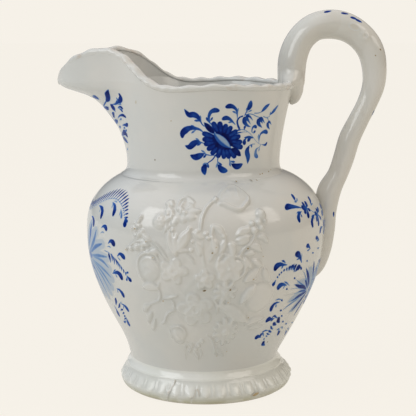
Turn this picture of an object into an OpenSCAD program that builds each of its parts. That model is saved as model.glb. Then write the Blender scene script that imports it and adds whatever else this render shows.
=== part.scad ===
// Porcelain cream jug: a footed, bellied body with a flared neck, a drawn beak spout,
// a looped branch handle, a scalloped rim, a tongued foot and a bouquet in low relief on
// each side. Millimetres, +Z up. The origin is on the body's axis, on the plane that the
// foot stands on. +X points to the handle, -X to the spout.

/* [Foot] */
// Radius of the foot at its widest
foot_r = 34.4; // [32:0.1:38]
// Height of the waist, where the foot meets the belly
waist_z = 12.2; // [10:0.1:15]
// Radius of the waist
waist_r = 29.8; // [26:0.1:31]
// Number of tongues in the foot's border
tongues = 36; // [24:1:44]

/* [Belly] */
// Radius of the belly at its widest
belly_r = 47.4; // [44:0.1:51]
// Height of the belly's widest ring
belly_z = 64; // [58:0.5:68]
// Height of the corner between the shoulder and the neck
shoulder_z = 86.4; // [84:0.1:90]
// Thickness of the thrown wall
wall = 3; // [2.4:0.1:3.6]

/* [Neck and spout] */
// Radius of the neck where it stands on the shoulder
neck_r = 30; // [27:0.1:32]
// How far the neck's axis lies towards the spout
neck_shift = 0.9; // [0:0.1:2]
// Height of the lip along the sides and the back
lip_z = 122.2; // [118:0.1:126]
// Extra radius at the lip, at the sides
flare_side = 4.6; // [3:0.1:6]
// Extra radius at the lip, at the handle
flare_back = 6.4; // [4:0.1:8]
// Height of the spout's crests above the lip
crest_rise = 13; // [8:0.1:15]
// How far the spout reaches past the neck
spout_reach = 23; // [16:0.1:26]
// Angle that the spout is turned from the handle's plane
spout_turn = -3; // [-6:0.5:6]
// Number of scallops round the rim
scallops = 30; // [20:1:40]

/* [Handle] */
// Highest point of the handle above the table
handle_top = 149.3; // [144:0.1:156]
// Radius of the branch at the top of its loop
handle_r = 5.6; // [4.5:0.1:6.5]
// Radius of the branch at its slimmest
handle_slim_r = 3.9; // [3:0.1:4.5]

/* [Relief] */
// Height of the flowers above the belly
relief_h = 1.3; // [0.8:0.1:2]

/* [Hidden] */
BOUQUET = ["poppy", "lilac_spray", "berry_spray", "tulip_leaves", "bud_leaves", "berry_branch",
           "curled_leaf", "small_rose", "five_petal", "pansy", "aster", "fruit", "big_rose",
           "rose_leaf", "leaf_spray", "bellflower", "daisy", "base_spray"];
SIDES = [["near", 0], ["far", 180]];

GLAZE = [0.80, 0.81, 0.78];
PALE = [0.84, 0.85, 0.82];
DUSK = [0.74, 0.75, 0.72];

turn_fn = 120;          // facets round the turned pieces
sprig_fn = 32;          // facets round a berry
foot_recess = 3.2;      // extra radius of the hollow foot at the table
tongue_h = 0.6;         // height of a tongue above the foot
tongue_z = [2.6, 8.2];  // height range of the tongues
tongue_part = 0.62;     // share of the pitch that a tongue takes
border_h = 1.8;         // height of the moulded rim above the wall
border_over = 0.8;      // how far the moulded rim overhangs the wall
spout_half = 56;        // half angle of the spout's piece
spout_foot_z = 96;      // height where the spout's piece starts
spout_width = 20;       // angle in which the spout's reach falls to 1/e
far_spread = 0.92;      // how much wider the far flank of the spout is than the near one
handle_edge = 10;       // half angle of the rim that the handle's foot takes
collar_rows = 4;        // rows of the lofted wall below the spout's foot
lip_rows = 12;          // rows of the lofted wall above it

// ---- curves ------------------------------------------------------------------------

function along(points, i) = points[min(max(i, 0), len(points) - 1)];

// Catmull-Rom curve through the points, with n steps between two of them
function span(a, b, c, d, t) =
    0.5 * (2 * b + (c - a) * t + (2 * a - 5 * b + 4 * c - d) * t * t
           + (3 * b - a - 3 * c + d) * t * t * t);
function smooth(points, n) = concat(
    [for (i = [0 : len(points) - 2], k = [0 : n - 1])
        span(along(points, i - 1), points[i], points[i + 1], along(points, i + 2), k / n)],
    [points[len(points) - 1]]);

// The same curve as a table of value against key, read at one key
function smooth_at(table, key, i = 0) =
    i > len(table) - 3 || key < table[i + 1][0]
    ? span(along(table, i - 1)[1], table[i][1], table[i + 1][1], along(table, i + 2)[1],
           min(max((key - table[i][0]) / (table[i + 1][0] - table[i][0]), 0), 1))
    : smooth_at(table, key, i + 1);

function unit(v) = v / norm(v);

// An open outline moved sideways by d, to the left of its direction
function beside(points, d) =
    [for (i = [0 : len(points) - 1])
        let (t = unit(along(points, i + 1) - along(points, i - 1)))
        points[i] + d * [-t[1], t[0]]];

function backwards(points) = [for (i = [len(points) - 1 : -1 : 0]) points[i]];

// ---- outlines of the turned pieces -----------------------------------------------------

// Radius of the belly's outside at a height: a sine flank below, a round shoulder above
function flank(t) = pow(sin(90 * t), 1.28 - 0.38 * t);
function belly_at(z) = z < belly_z
    ? waist_r + (belly_r - waist_r) * flank(max(z - waist_z, 0) / (belly_z - waist_z))
    : neck_r + (belly_r - neck_r)
        * pow(1 - pow(min((z - belly_z) / (shoulder_z - belly_z), 1), 2.4), 0.74);

belly_steps = 44;
belly_line = [for (i = [0 : belly_steps])
    let (z = waist_z + (shoulder_z - waist_z) * (1 - pow(1 - i / belly_steps, 1.25)))
    [belly_at(z), z]];
belly_inner = [for (p = beside(belly_line, wall))
    [p[0], min(max(p[1], waist_z), shoulder_z)]];

foot_line = smooth([[foot_r - 2.1, 0], [foot_r - 0.6, 1.2], [foot_r, 3],
                    [foot_r - 0.6, 5], [foot_r - 1.8, 6.9], [foot_r - 3, 8.8],
                    [waist_r + 0.9, waist_z - 2.2], [waist_r + 0.2, waist_z - 0.9],
                    [waist_r, waist_z]], 4);

// ---- lofted wall of the neck and the spout ----------------------------------------------

// Angle away from the spout's middle, from 0 to 180, read slower on the far flank
function off_spout(a) =
    let (turn = (a - 180 - spout_turn + 540) % 360 - 180)
    turn < 0 ? min(-turn * far_spread, 180) : min(turn, 180);

// Height of the lip against the angle away from the spout's middle
lip_table = [[0, lip_z + 0.6], [4, lip_z + 3], [8, lip_z + 6.6], [12, lip_z + 9.8],
             [17, lip_z + 12.1], [22, lip_z + crest_rise], [28, lip_z + 12.4],
             [34, lip_z + 10.6], [41, lip_z + 7.6], [49, lip_z + 4.2], [57, lip_z + 1.4],
             [66, lip_z - 0.2], [80, lip_z - 0.4], [100, lip_z + 0.2], [130, lip_z - 0.3],
             [180, lip_z - 0.6]];
function lip_at(a) = smooth_at(lip_table, off_spout(a));

// How far the spout stands out in its middle against the height
reach_table = [[90, 0], [94, 0.01], [98, 0.04], [101, 0.075], [104, 0.12], [107, 0.185],
               [110, 0.265], [113, 0.36], [115, 0.45], [116.5, 0.57], [118, 0.76],
               [119.5, 0.93], [121, 0.99], [123, 1], [140, 1]];

// Radius of the wall's outside about the neck's own axis
function neck_at(a, z) =
    let (t = min(max((z - shoulder_z) / (lip_z - shoulder_z), 0), 1),
         flare = flare_side + (flare_back - flare_side) * pow(max(cos(a), 0), 2),
         s = off_spout(a) / spout_width)
    neck_r + flare * pow(t, 1.8) + spout_reach * smooth_at(reach_table, z) * exp(-s * s);

function wall_point(a, z) = let (r = neck_at(a, z)) [r * cos(a) - neck_shift, r * sin(a), z];
function wall_normal(a, z) = unit(cross(wall_point(a + 1, z) - wall_point(a - 1, z),
                                        wall_point(a, z + 0.3) - wall_point(a, z - 0.3)));

// Inside of the wall: square to the wall, or level with the outside point
function inside_square(a, z) = wall_point(a, z) - wall * wall_normal(a, z);
function inside_level(a, z) =
    let (n = wall_normal(a, z), h = unit([n[0], n[1], 0]), lean = max(norm([n[0], n[1]]), 0.5))
    wall_point(a, z) - h * wall / lean;

function wall_top(a) = lip_at(a) - border_h;

// Columns of the lofted wall as angles from the spout's middle, closer together at the beak
column_turns = concat([for (t = [-28 : 2 : 28]) t], [for (t = [32 : 4 : 328]) t]);
columns = len(column_turns);
rows = collar_rows + lip_rows;

function column_angle(i) = 180 + spout_turn + column_turns[i % columns];
function row_z(a, k) = k <= collar_rows
    ? shoulder_z + (spout_foot_z - shoulder_z) * k / collar_rows
    : spout_foot_z + (wall_top(a) - spout_foot_z) * (k - collar_rows) / lip_rows;

// True where cell (i, k) of the wall belongs to the spout's piece
function in_spout(i, k) =
    let (turn = column_turns[(i + columns) % columns], t = turn < 180 ? turn : turn - 360)
    k >= collar_rows && t >= -spout_half && t < spout_half;

// Closed solid of the cells of the wall that do, or do not, belong to the spout
module wall_piece(spout_side) {
    w = rows + 1;
    n = w * columns;
    kept = function (i, k) k >= 0 && k < rows && in_spout(i, k) == spout_side;
    points = concat(
        [for (i = [0 : columns - 1], k = [0 : rows])
            wall_point(column_angle(i), row_z(column_angle(i), k))],
        [for (i = [0 : columns - 1], k = [0 : rows])
            k == 0 || k == collar_rows || k == rows
            ? inside_level(column_angle(i), row_z(column_angle(i), k))
            : inside_square(column_angle(i), row_z(column_angle(i), k))]);
    cells = [for (i = [0 : columns - 1], k = [0 : rows - 1]) if (kept(i, k)) [i, k]];
    quads = [for (c = cells)
        let (i = c[0], k = c[1], p = i * w + k, q = ((i + 1) % columns) * w + k)
        each concat(
            [[p, p + 1, q + 1, q], [n + p, n + q, n + q + 1, n + p + 1]],
            kept(i, k - 1) ? [] : [[p, q, n + q, n + p]],
            kept(i, k + 1) ? [] : [[p + 1, n + p + 1, n + q + 1, q + 1]],
            kept(i - 1, k) ? [] : [[p, n + p, n + p + 1, p + 1]],
            kept(i + 1, k) ? [] : [[q, q + 1, n + q + 1, n + q]])];
    polyhedron(points, quads);
}

// ---- handle ----------------------------------------------------------------------------

// Middle of the branch in the XZ plane, and its radius there. The foot of the loop stands
// on the rim, and the tail lies against the belly.
rim_edge = wall_top(0);
lap_line = [[32, 114, 1], [32.2, 115.4, 1.8], [32.8, 118, 3.3], [33.1, rim_edge, 4.6],
            [33.1, rim_edge, 4.6]];
loop_line = [[33.3, rim_edge, 4.8], [33.8, 125, 5.5], [34.5, 131.4, 5.6],
             [37.4, 138, 5.4], [42.6, handle_top - handle_r - 1.2, 5.4],
             [48.8, handle_top - handle_r, handle_r], [54.6, 142.7, 5.6],
             [60.6, 139, 5.4], [64.7, 133.6, 5.1], [66.4, 127, 4.7], [66.3, 120, 4.4],
             [64, 113, handle_slim_r + 0.2], [60.6, 106, handle_slim_r + 0.1],
             [57.3, 99, handle_slim_r + 0.2], [55.2, 92, 4.1], [52.8, 85, 4], [49.8, 78, 4.3],
             [48.4, 70, 3.9], [48, 62, 3.8], [46.7, 54, 3.6], [43.7, 47, 3],
             [41.4, 43.4, 2.2]];

// A point moved out of the body's walls, so that the handle only touches them. The side
// that faces away keeps a skin's thickness above the side that lies on the wall.
function skin(away) = 0.02 + 0.4 * max(away, 0);
function off_belly(p, away) =
    let (r = norm([p[0], p[1]]), b = p[2] < shoulder_z ? belly_at(p[2]) + skin(away) : 0)
    r >= b ? p : [p[0] * b / r, p[1] * b / r, p[2]];
function off_neck(p, away) =
    let (a = atan2(p[1], p[0] + neck_shift), r = norm([p[0] + neck_shift, p[1]]),
         b = neck_at(a, p[2]) + skin(away))
    r >= b ? p : [(r < 0.1 ? 1 : (p[0] + neck_shift) / r) * b - neck_shift,
                  p[1] * b / max(r, 0.1), p[2]];

// Ring of n points round station i of a line of [x, z, radius]
function ring(line, i, n) =
    let (t = unit(along(line, i + 1) - along(line, i - 1)),
         d = unit([t[0], t[1]]), c = line[i])
    [for (k = [0 : n - 1]) let (a = 360 * k / n)
        [c[0] - d[1] * c[2] * cos(a), c[2] * sin(a), c[1] + d[0] * c[2] * cos(a)]];

// Tube through rings of equal length, closed with a flat cap at each end
module tube(rings) {
    n = len(rings[0]);
    last = len(rings) - 1;
    polyhedron([for (r = rings, p = r) p], concat(
        [[for (k = [n - 1 : -1 : 0]) k]],
        [for (i = [0 : last - 1], k = [0 : n - 1])
            let (m = (k + 1) % n)
            [i * n + k, i * n + m, (i + 1) * n + m, (i + 1) * n + k]],
        [[for (k = [0 : n - 1]) last * n + k]]));
}

// ---- relief ----------------------------------------------------------------------------

// Layer of clay on the belly that the flowers are cut from
module relief_skin() {
    rotate_extrude($fn = turn_fn)
        polygon(concat(belly_line, backwards(beside(belly_line, -relief_h))));
}

// Outlines cut in the skin, facing a direction, drawn about a point at a height.
// turn is the direction in degrees from -Y towards +X.
module sprig(turn, z) {
    intersection() {
        relief_skin();
        rotate([0, 0, turn]) translate([0, 0, z]) rotate([90, 0, 0])
            linear_extrude(belly_r + relief_h + 1)
                children();
    }
}

// Flower outline with n round petals, of two half sizes
module blossom(n, rx, ry, notch = 0.16) {
    polygon([for (a = [0 : 6 : 354])
        let (r = 1 - notch * pow(1 - abs(cos(n * a / 2)), 2)) [rx * r * cos(a), ry * r * sin(a)]]);
}

// Leaf outline from the origin along +Y, turned, with a belly on one side
module leaf(at, turn, length, width, bend = 0) {
    translate(at) rotate(turn)
        polygon(concat(
            [for (t = [0 : 0.1 : 1])
                [bend * sin(180 * t) + width / 2 * sin(180 * t), length * t]],
            [for (t = [0.9 : -0.1 : 0.1])
                [bend * sin(180 * t) - width / 2 * sin(180 * t), length * t]]));
}

// Stem of constant width through points
module stem(points, width = 1) {
    line = smooth(points, 3);
    polygon(concat(beside(line, width / 2), backwards(beside(line, -width / 2))));
}

module berry(at, r) {
    translate(at) circle(r, $fn = sprig_fn);
}

module flower_piece(name) {
    if (name == "poppy") sprig(8, 77) {
        translate([4.6, 3.4]) blossom(7, 5.9, 4, 0.3);
        stem([[-0.6, 3.4], [-4, 2], [-6, -0.6], [-7.2, -3.4], [-6.8, -6.4]], 1.3);
        berry([-1.4, 3.4], 1.1);
    }
    if (name == "lilac_spray") sprig(-16, 77) {
        blossom(9, 2, 2);
        berry([-3.1, -3.4], 2.7);
        berry([2.4, -0.4], 2);
        berry([-0.4, 3], 1.5);
        berry([1, 5.4], 1.1);
        leaf([3, 0.4], -78, 6.6, 2.2);
        leaf([3, 1.4], -50, 5, 1.8);
        stem([[-3.1, -3.4], [-1, -1.4], [1.4, 0]], 2);
    }
    if (name == "berry_spray") sprig(-29, 67) {
        berry([-1.4, 6.2], 1);
        berry([-2, 3.6], 1.3);
        berry([-0.4, 1.4], 1.2);
        stem([[-1.4, 5.4], [-1.2, 2.6], [1, -0.6], [5, -3.2], [8.4, -6.6]], 1.8);
        stem([[-6.4, -4.6], [-3.6, -3.2], [1, -1.2]], 1);
    }
    if (name == "tulip_leaves") sprig(-13, 65) {
        leaf([1.4, -3.6], 30, 7.4, 2.4, 0.4);
        leaf([1.2, -3.6], -14, 7.4, 3.4);
    }
    if (name == "bud_leaves") sprig(2, 67) {
        leaf([-1.4, -3], 52, 6.4, 2.6);
        leaf([-0.6, -3.6], 16, 6, 2);
        leaf([0.6, -3.4], -32, 8, 3.6);
        leaf([1.4, -3.8], -62, 5.6, 2.2);
    }
    if (name == "berry_branch") sprig(20, 66) {
        stem([[-3.6, -3.6], [-1.2, -1.6], [1, 1], [2, 4], [3.6, 8]], 0.9);
        leaf([-1.6, 0.6], 66, 4.4, 2.4);
        leaf([-0.6, 2.2], 56, 5, 2.6);
        leaf([-3.4, -3.6], 78, 5, 2.6);
        leaf([0.8, -1.8], -70, 4.6, 2.2);
        leaf([1.4, 0.4], -66, 5, 2.2);
        leaf([-2.4, -3.4], -112, 7, 3.2);
        berry([3.8, 4.4], 1.1);
        berry([3.9, 8.8], 1.5);
    }
    if (name == "curled_leaf") sprig(-29, 57) {
        stem([[3.6, 1.6], [1, 4.2], [-2, 3.6], [-3, 0], [-2.4, -3.6], [-0.6, -6.4]], 1.6);
    }
    if (name == "small_rose") sprig(-14.4, 54.6) {
        blossom(5, 5.2, 5.4);
        leaf([-3.4, -4.6], 82, 8, 4.4);
    }
    if (name == "five_petal") sprig(-0.2, 51.8)
        blossom(5, 3.7, 4.4);
    if (name == "pansy") sprig(11, 56.2)
        blossom(7, 5, 5.2);
    if (name == "aster") sprig(10, 45.8)
        blossom(11, 3.8, 3.6, 0.4);
    if (name == "fruit") sprig(27, 44.4) {
        berry([0, 0], 5.8);
        leaf([-6.6, -2], -42, 8, 3);
        leaf([-5, 6.6], -62, 6, 2.4);
        leaf([3.6, 4.8], -16, 5, 2.6);
    }
    if (name == "big_rose") sprig(-4.6, 39.4) {
        blossom(7, 7, 5.8);
        leaf([-3, 3.4], 66, 8.4, 3.6);
    }
    if (name == "rose_leaf") sprig(14, 37.4) {
        leaf([-4.6, 2], -122, 11, 6);
    }
    if (name == "leaf_spray") sprig(-28, 37) {
        stem([[-2.4, 6], [-1.4, 1], [0.4, -4], [1.2, -8]], 1.2);
        berry([-2.4, 6], 1.3);
        leaf([-1, 2.6], -54, 7, 2.8);
        leaf([-0.4, -2], 40, 4, 1.8);
    }
    if (name == "bellflower") sprig(-16, 29) {
        blossom(5, 3.2, 3.4);
        leaf([-1.6, 2.4], 22, 6, 3.6);
    }
    if (name == "daisy") sprig(11.4, 29)
        blossom(12, 5.8, 4.4, 0.3);
    if (name == "base_spray") sprig(-4, 22) {
        stem([[-3, 5], [-0.4, 3.4], [2, 0], [3, -3.6]], 0.9);
        berry([-1.6, 0.4], 1.5);
        berry([-4, 1.6], 1.2);
        leaf([-2.4, -0.2], 116, 4, 1.8);
    }
}

// ---- pieces ----------------------------------------------------------------------------

module foot() {
    color(PALE) rotate_extrude($fn = turn_fn)
        polygon(concat(foot_line, [[waist_r - wall, waist_z], [waist_r - wall, waist_z - wall],
                                   [waist_r - wall + foot_recess, 0]]));
}

// Flat tongues round the foot, all separate solids
module foot_border() {
    band = [for (p = foot_line) if (p[1] >= tongue_z[0] && p[1] <= tongue_z[1]) p];
    pitch = 360 / tongues;
    reach = foot_r + 5;
    color(DUSK) intersection() {
        rotate_extrude($fn = turn_fn) polygon(concat(band, backwards(beside(band, -tongue_h))));
        for (i = [0 : tongues - 1])
            linear_extrude(waist_z)
                polygon([[0, 0],
                    for (s = [-0.5, 0.5])
                        reach * [cos(pitch * (i + s * tongue_part)), sin(pitch * (i + s * tongue_part))]]);
    }
}

// Floor of the vessel, inside the top of the foot
module base_disc() {
    color(DUSK) translate([0, 0, waist_z - wall])
        cylinder(h = wall, r = waist_r - wall, $fn = turn_fn);
}

module belly() {
    color(GLAZE) rotate_extrude($fn = turn_fn)
        polygon(concat(belly_line, backwards(belly_inner)));
}

module neck() {
    color(PALE) wall_piece(false);
}

module spout() {
    color(GLAZE) wall_piece(true);
}

// Moulded border along the lip, from one side of the handle round to the other
module rim_border() {
    steps = 170;
    sides = 8;
    rings = [for (i = [0 : steps])
        let (a = handle_edge + (360 - 2 * handle_edge) * i / steps,
             p = wall_point(a, wall_top(a)), q = inside_level(a, wall_top(a)),
             out = unit(p - q), wide = norm(p - q) / 2 + border_over,
             high = border_h * (1 - 0.25 * pow(sin(180 * i * scallops / steps), 2)),
             middle = (p + q) / 2)
        [for (k = [0 : sides - 1]) let (b = 180 * k / (sides - 1))
            middle + out * wide * cos(b) + [0, 0, high * sin(b)]]];
    color(DUSK) tube(rings);
}

module handle() {
    lap = smooth(lap_line, 3);
    loop = smooth(loop_line, 3);
    sides = 24;
    side = [for (k = [0 : sides - 1]) cos(360 * k / sides)];
    color(GLAZE) tube(concat(
        [for (i = [0 : len(lap) - 4]) let (r = ring(lap, i, sides))
            [for (k = [0 : sides - 1]) off_neck(r[k], -side[k])]],
        [for (i = [0 : len(loop) - 1]) let (r = ring(loop, i, sides))
            [for (k = [0 : sides - 1]) off_belly(r[k], side[k]) + [0, 0, i == 0 ? 0.02 : 0]]]));
}

// A cut twig, left as a stub on the near face of the branch
module handle_knot() {
    color(DUSK) translate([61.8, -handle_r, 139.4]) rotate([90, 0, 0])
        cylinder(h = 1, r1 = 1.8, r2 = 1.2, $fn = sprig_fn);
}

foot();
foot_border();
base_disc();
belly();
neck();
spout();
rim_border();
handle();
handle_knot();
for (s = SIDES, b = BOUQUET)
    color(PALE) rotate([0, 0, s[1]]) flower_piece(b);
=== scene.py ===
"""Porcelain cream jug with a beak spout, a branch handle, flowers in low relief and blue
painted flowers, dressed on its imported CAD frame. Lengths are in millimetres inside the
script, and each mesh is scaled to metres when it is made. Angles are in degrees: `a` turns
from +X (the handle) towards +Y, and `turn` turns from -Y (the viewer) towards +X."""

import math

import bpy
import numpy as np
from mathutils import Matrix, Vector


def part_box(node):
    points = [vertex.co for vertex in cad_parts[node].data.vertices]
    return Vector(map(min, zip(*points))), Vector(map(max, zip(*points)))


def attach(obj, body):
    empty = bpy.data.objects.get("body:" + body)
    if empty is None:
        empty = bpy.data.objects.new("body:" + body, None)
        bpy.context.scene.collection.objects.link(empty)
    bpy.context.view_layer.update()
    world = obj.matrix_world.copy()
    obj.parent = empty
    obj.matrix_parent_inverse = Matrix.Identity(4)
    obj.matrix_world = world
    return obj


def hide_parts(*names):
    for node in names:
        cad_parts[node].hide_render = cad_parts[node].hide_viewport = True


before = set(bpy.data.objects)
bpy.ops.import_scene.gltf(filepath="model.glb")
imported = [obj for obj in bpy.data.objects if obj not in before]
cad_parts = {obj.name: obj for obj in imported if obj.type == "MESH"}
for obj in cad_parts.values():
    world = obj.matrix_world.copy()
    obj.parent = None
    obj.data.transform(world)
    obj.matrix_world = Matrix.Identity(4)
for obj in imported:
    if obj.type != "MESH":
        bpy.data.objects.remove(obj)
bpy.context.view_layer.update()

MM = 0.001
ROOT = "root"
WALL = 3.0  # thickness of the fired wall


# ---- numbers taken from the frame --------------------------------------------


def box_mm(node):
    """Lowest and highest corner of a CAD node, in millimetres."""
    low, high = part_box(node)
    return np.array(low) / MM, np.array(high) / MM


BELLY_LOW, BELLY_HIGH = box_mm("belly")
FOOT_LOW, FOOT_HIGH = box_mm("foot")
HANDLE_TOP = box_mm("handle")[1][2]
SPOUT_FOOT_Z = box_mm("spout")[0][2]

WAIST_Z = BELLY_LOW[2]
SHOULDER_Z = BELLY_HIGH[2]
BELLY_R = (BELLY_HIGH[1] - BELLY_LOW[1]) / 2
BELLY_Z = WAIST_Z + 51.8  # height of the belly's widest ring
FOOT_R = (FOOT_HIGH[1] - FOOT_LOW[1]) / 2
WAIST_R = FOOT_R - 4.6
NECK_R = 30.0
NECK_SHIFT = 0.9  # distance of the neck's axis from the body's, towards the spout
BORDER_H = 1.8  # height of the moulded strip on the lip
LIP_Z = SHOULDER_Z + 35.8
SPOUT_TURN = -3.0  # the spout's middle is turned this many degrees from -X
SPOUT_MIDDLE = 180 + SPOUT_TURN
SPOUT_HALF = 56.0  # half of the angle that the spout's own piece takes up
SPOUT_REACH = 23.0


# ---- curves ------------------------------------------------------------------


def hermite(table, x):
    """Smooth curve through a table of (key, value...) rows, read at the keys x."""
    table = np.asarray(table, float)
    keys, values = table[:, 0], table[:, 1:]
    x = np.clip(np.asarray(x, float), keys[0], keys[-1])
    slopes = np.gradient(values, keys, axis=0)
    i = np.clip(np.searchsorted(keys, x, side="right") - 1, 0, len(keys) - 2)
    gap = keys[i + 1] - keys[i]
    t = ((x - keys[i]) / gap)[..., None]
    gap = gap[..., None]
    out = (
        (2 * t**3 - 3 * t**2 + 1) * values[i]
        + (t**3 - 2 * t**2 + t) * gap * slopes[i]
        + (3 * t**2 - 2 * t**3) * values[i + 1]
        + (t**3 - t**2) * gap * slopes[i + 1]
    )
    return out[..., 0] if values.shape[1] == 1 else out


def unit(vectors):
    """The vectors, each scaled to a length of 1."""
    return vectors / np.linalg.norm(vectors, axis=-1, keepdims=True)


def polar(a):
    """Cosine and sine of angles in degrees."""
    return np.cos(np.radians(a)), np.sin(np.radians(a))


def together(*values):
    """The values as arrays of one common shape."""
    return np.broadcast_arrays(*(np.asarray(value, float) for value in values))


def way_along(points):
    """Distance of each point from the first one, along the line through them."""
    steps = np.linalg.norm(np.diff(points, axis=0), axis=1)
    return np.concatenate([[0], np.cumsum(steps)])


def through(points, count):
    """A smooth curve of count points through the given ones, evenly spaced along it. The
    first two values of a point are its place, and a third one is carried along."""
    points = np.asarray(points, float)
    keys = way_along(points[:, :2])
    return hermite(np.column_stack([keys, points]), np.linspace(0, keys[-1], count))


def ease(x, low, high):
    """0 below low, 1 above high, smooth between."""
    t = np.clip((x - low) / (high - low), 0, 1)
    return t * t * (3 - 2 * t)


# ---- surfaces of the body ----------------------------------------------------


def wobble(a, z):
    """Slight unevenness that turning and firing leave, as an offset of the radius."""
    a = np.radians(a)
    return (
        0.10 * np.sin(2 * a + 0.7)
        + 0.05 * np.sin(3 * a + z / 11)
        + 0.035 * np.sin(z / 3.1 + a)
        + 0.03 * np.sin(5 * a - z / 6.3)
    )


def belly_radius(a, z):
    """Radius of the belly's outside: a sine flank below, a round shoulder above."""
    z = np.asarray(z, float)
    t = np.clip((z - WAIST_Z) / (BELLY_Z - WAIST_Z), 0, 1)
    flank = WAIST_R + (BELLY_R - WAIST_R) * np.sin(np.pi / 2 * t) ** (1.28 - 0.38 * t)
    u = np.clip((z - BELLY_Z) / (SHOULDER_Z - BELLY_Z), 0, 1)
    shoulder = NECK_R + (BELLY_R - NECK_R) * (1 - u**2.4) ** 0.74
    settle = ease(z, WAIST_Z, WAIST_Z + 4) * ease(-z, -SHOULDER_Z, -SHOULDER_Z + 3)
    return np.where(z < BELLY_Z, flank, shoulder) + wobble(a, z) * settle


def sway(z):
    """Sideways shift of the waist, where the jug leans a little towards the spout."""
    return -0.85 * np.exp(-(((z - WAIST_Z) / 5.5) ** 2))


def belly_normal(a, z):
    """Outward direction of the belly's outside."""
    a, z = together(a, z)
    step = 0.05
    steepest = 6
    slope = (belly_radius(a, z + step) - belly_radius(a, z - step)) / (2 * step)
    slope = np.clip(slope, -steepest, steepest)
    lean = np.sqrt(1 + slope**2)
    c, s = polar(a)
    return np.stack([c / lean, s / lean, -slope / lean], -1)


def belly_point(a, z, lift=0.0):
    """Point on the belly's outside, lifted along the surface's normal."""
    a, z = together(a, z)
    r = belly_radius(a, z)
    c, s = polar(a)
    p = np.stack([r * c + sway(z), r * s, z], -1)
    return p + np.asarray(lift)[..., None] * belly_normal(a, z)


def off_spout(a):
    """Angle from the spout's middle, 0 to 180. The far flank is a little wider."""
    turn = (np.asarray(a, float) - 180 - SPOUT_TURN + 540) % 360 - 180
    return np.where(turn < 0, np.minimum(-turn * 0.92, 180), turn)


# Height of the lip over LIP_Z, by degrees off the spout's middle.
LIP_TABLE = [
    (0, 0.6), (4, 3), (8, 6.6), (12, 9.8), (17, 12.1), (22, 13), (28, 12.4), (34, 10.6),
    (41, 7.6), (49, 4.2), (57, 1.4), (66, -0.2), (80, -0.4), (100, 0.2), (130, -0.3),
    (180, -0.6),
]
# Share of the spout's full reach, by height.
REACH_TABLE = [
    (86, 0), (90, 0), (94, 0.01), (98, 0.04), (101, 0.075), (104, 0.12), (107, 0.185),
    (110, 0.265), (113, 0.36), (115, 0.45), (116.5, 0.57), (118, 0.76), (119.5, 0.93),
    (121, 0.99), (123, 1), (140, 1),
]


def lip_height(a):
    """Height of the very edge of the lip."""
    return LIP_Z + hermite(LIP_TABLE, off_spout(a))


def wall_top(a):
    """Height at which the wall ends and the moulded strip starts."""
    return lip_height(a) - BORDER_H


def neck_radius(a, z):
    """Radius of the neck and spout about the neck's own axis: a flare that grows upwards,
    the spout's reach, and a small cove where the neck stands on the shoulder."""
    z = np.asarray(z, float)
    t = np.clip((z - SHOULDER_Z) / (LIP_Z - SHOULDER_Z), 0, 1)
    back = np.maximum(np.cos(np.radians(a)), 0) ** 2
    flare = 4.6 + 1.8 * back
    s = off_spout(a) / 20.0
    cove = 1.5 * np.exp(-np.maximum(z - SHOULDER_Z, -1) / 1.4)
    reach = SPOUT_REACH * hermite(REACH_TABLE, z)
    return NECK_R + flare * t**1.8 + reach * np.exp(-s * s) + cove


def wall_surface(a, z):
    """Point on the neck's or spout's outside."""
    r = neck_radius(a, z) + wobble(a, z) * 0.8 * ease(z, SHOULDER_Z, SHOULDER_Z + 5)
    c, s = polar(a)
    return np.stack([r * c - NECK_SHIFT, r * s, z], -1)


def wall_normal(a, z):
    """Outward direction of the neck's or spout's outside."""
    a, z = together(a, z)
    round_it = wall_surface(a + 0.5, z) - wall_surface(a - 0.5, z)
    return unit(np.cross(round_it, wall_surface(a, z + 0.2) - wall_surface(a, z - 0.2)))


def wall_point(a, z, lift=0.0):
    """Point on the neck's or spout's outside, lifted along the surface's normal."""
    a, z = together(a, z)
    return wall_surface(a, z) + np.asarray(lift)[..., None] * wall_normal(a, z)


def wall_inside(a, z):
    """Inside of the wall. Near the lip it is found at the same height as the outside, so
    that the lip stays level."""
    a, z = together(a, z)
    n = wall_normal(a, z)
    flat = n[..., :2]
    lean = np.maximum(np.linalg.norm(flat, axis=-1, keepdims=True), 0.5)
    square = wall_point(a, z) - n * WALL
    level = wall_point(a, z) - np.concatenate(
        [flat / lean**2 * WALL * np.minimum(lean * 1.3, 1), np.zeros_like(z)[..., None]], -1
    )
    blend = ease(z, wall_top(a) - 4, wall_top(a))[..., None]
    return square * (1 - blend) + level * blend


# ---- mesh helpers ------------------------------------------------------------


def grid_faces(rows, columns, close_columns=False, close_rows=False):
    """Quads of a grid of rows x columns points, counter-clockwise seen from +normal."""
    r = np.arange(rows if close_rows else rows - 1)
    c = np.arange(columns if close_columns else columns - 1)
    r, c = np.meshgrid(r, c, indexing="ij")
    r2, c2 = (r + 1) % rows, (c + 1) % columns
    return np.stack(
        [r * columns + c, r * columns + c2, r2 * columns + c2, r2 * columns + c], -1
    ).reshape(-1, 4)


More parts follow.
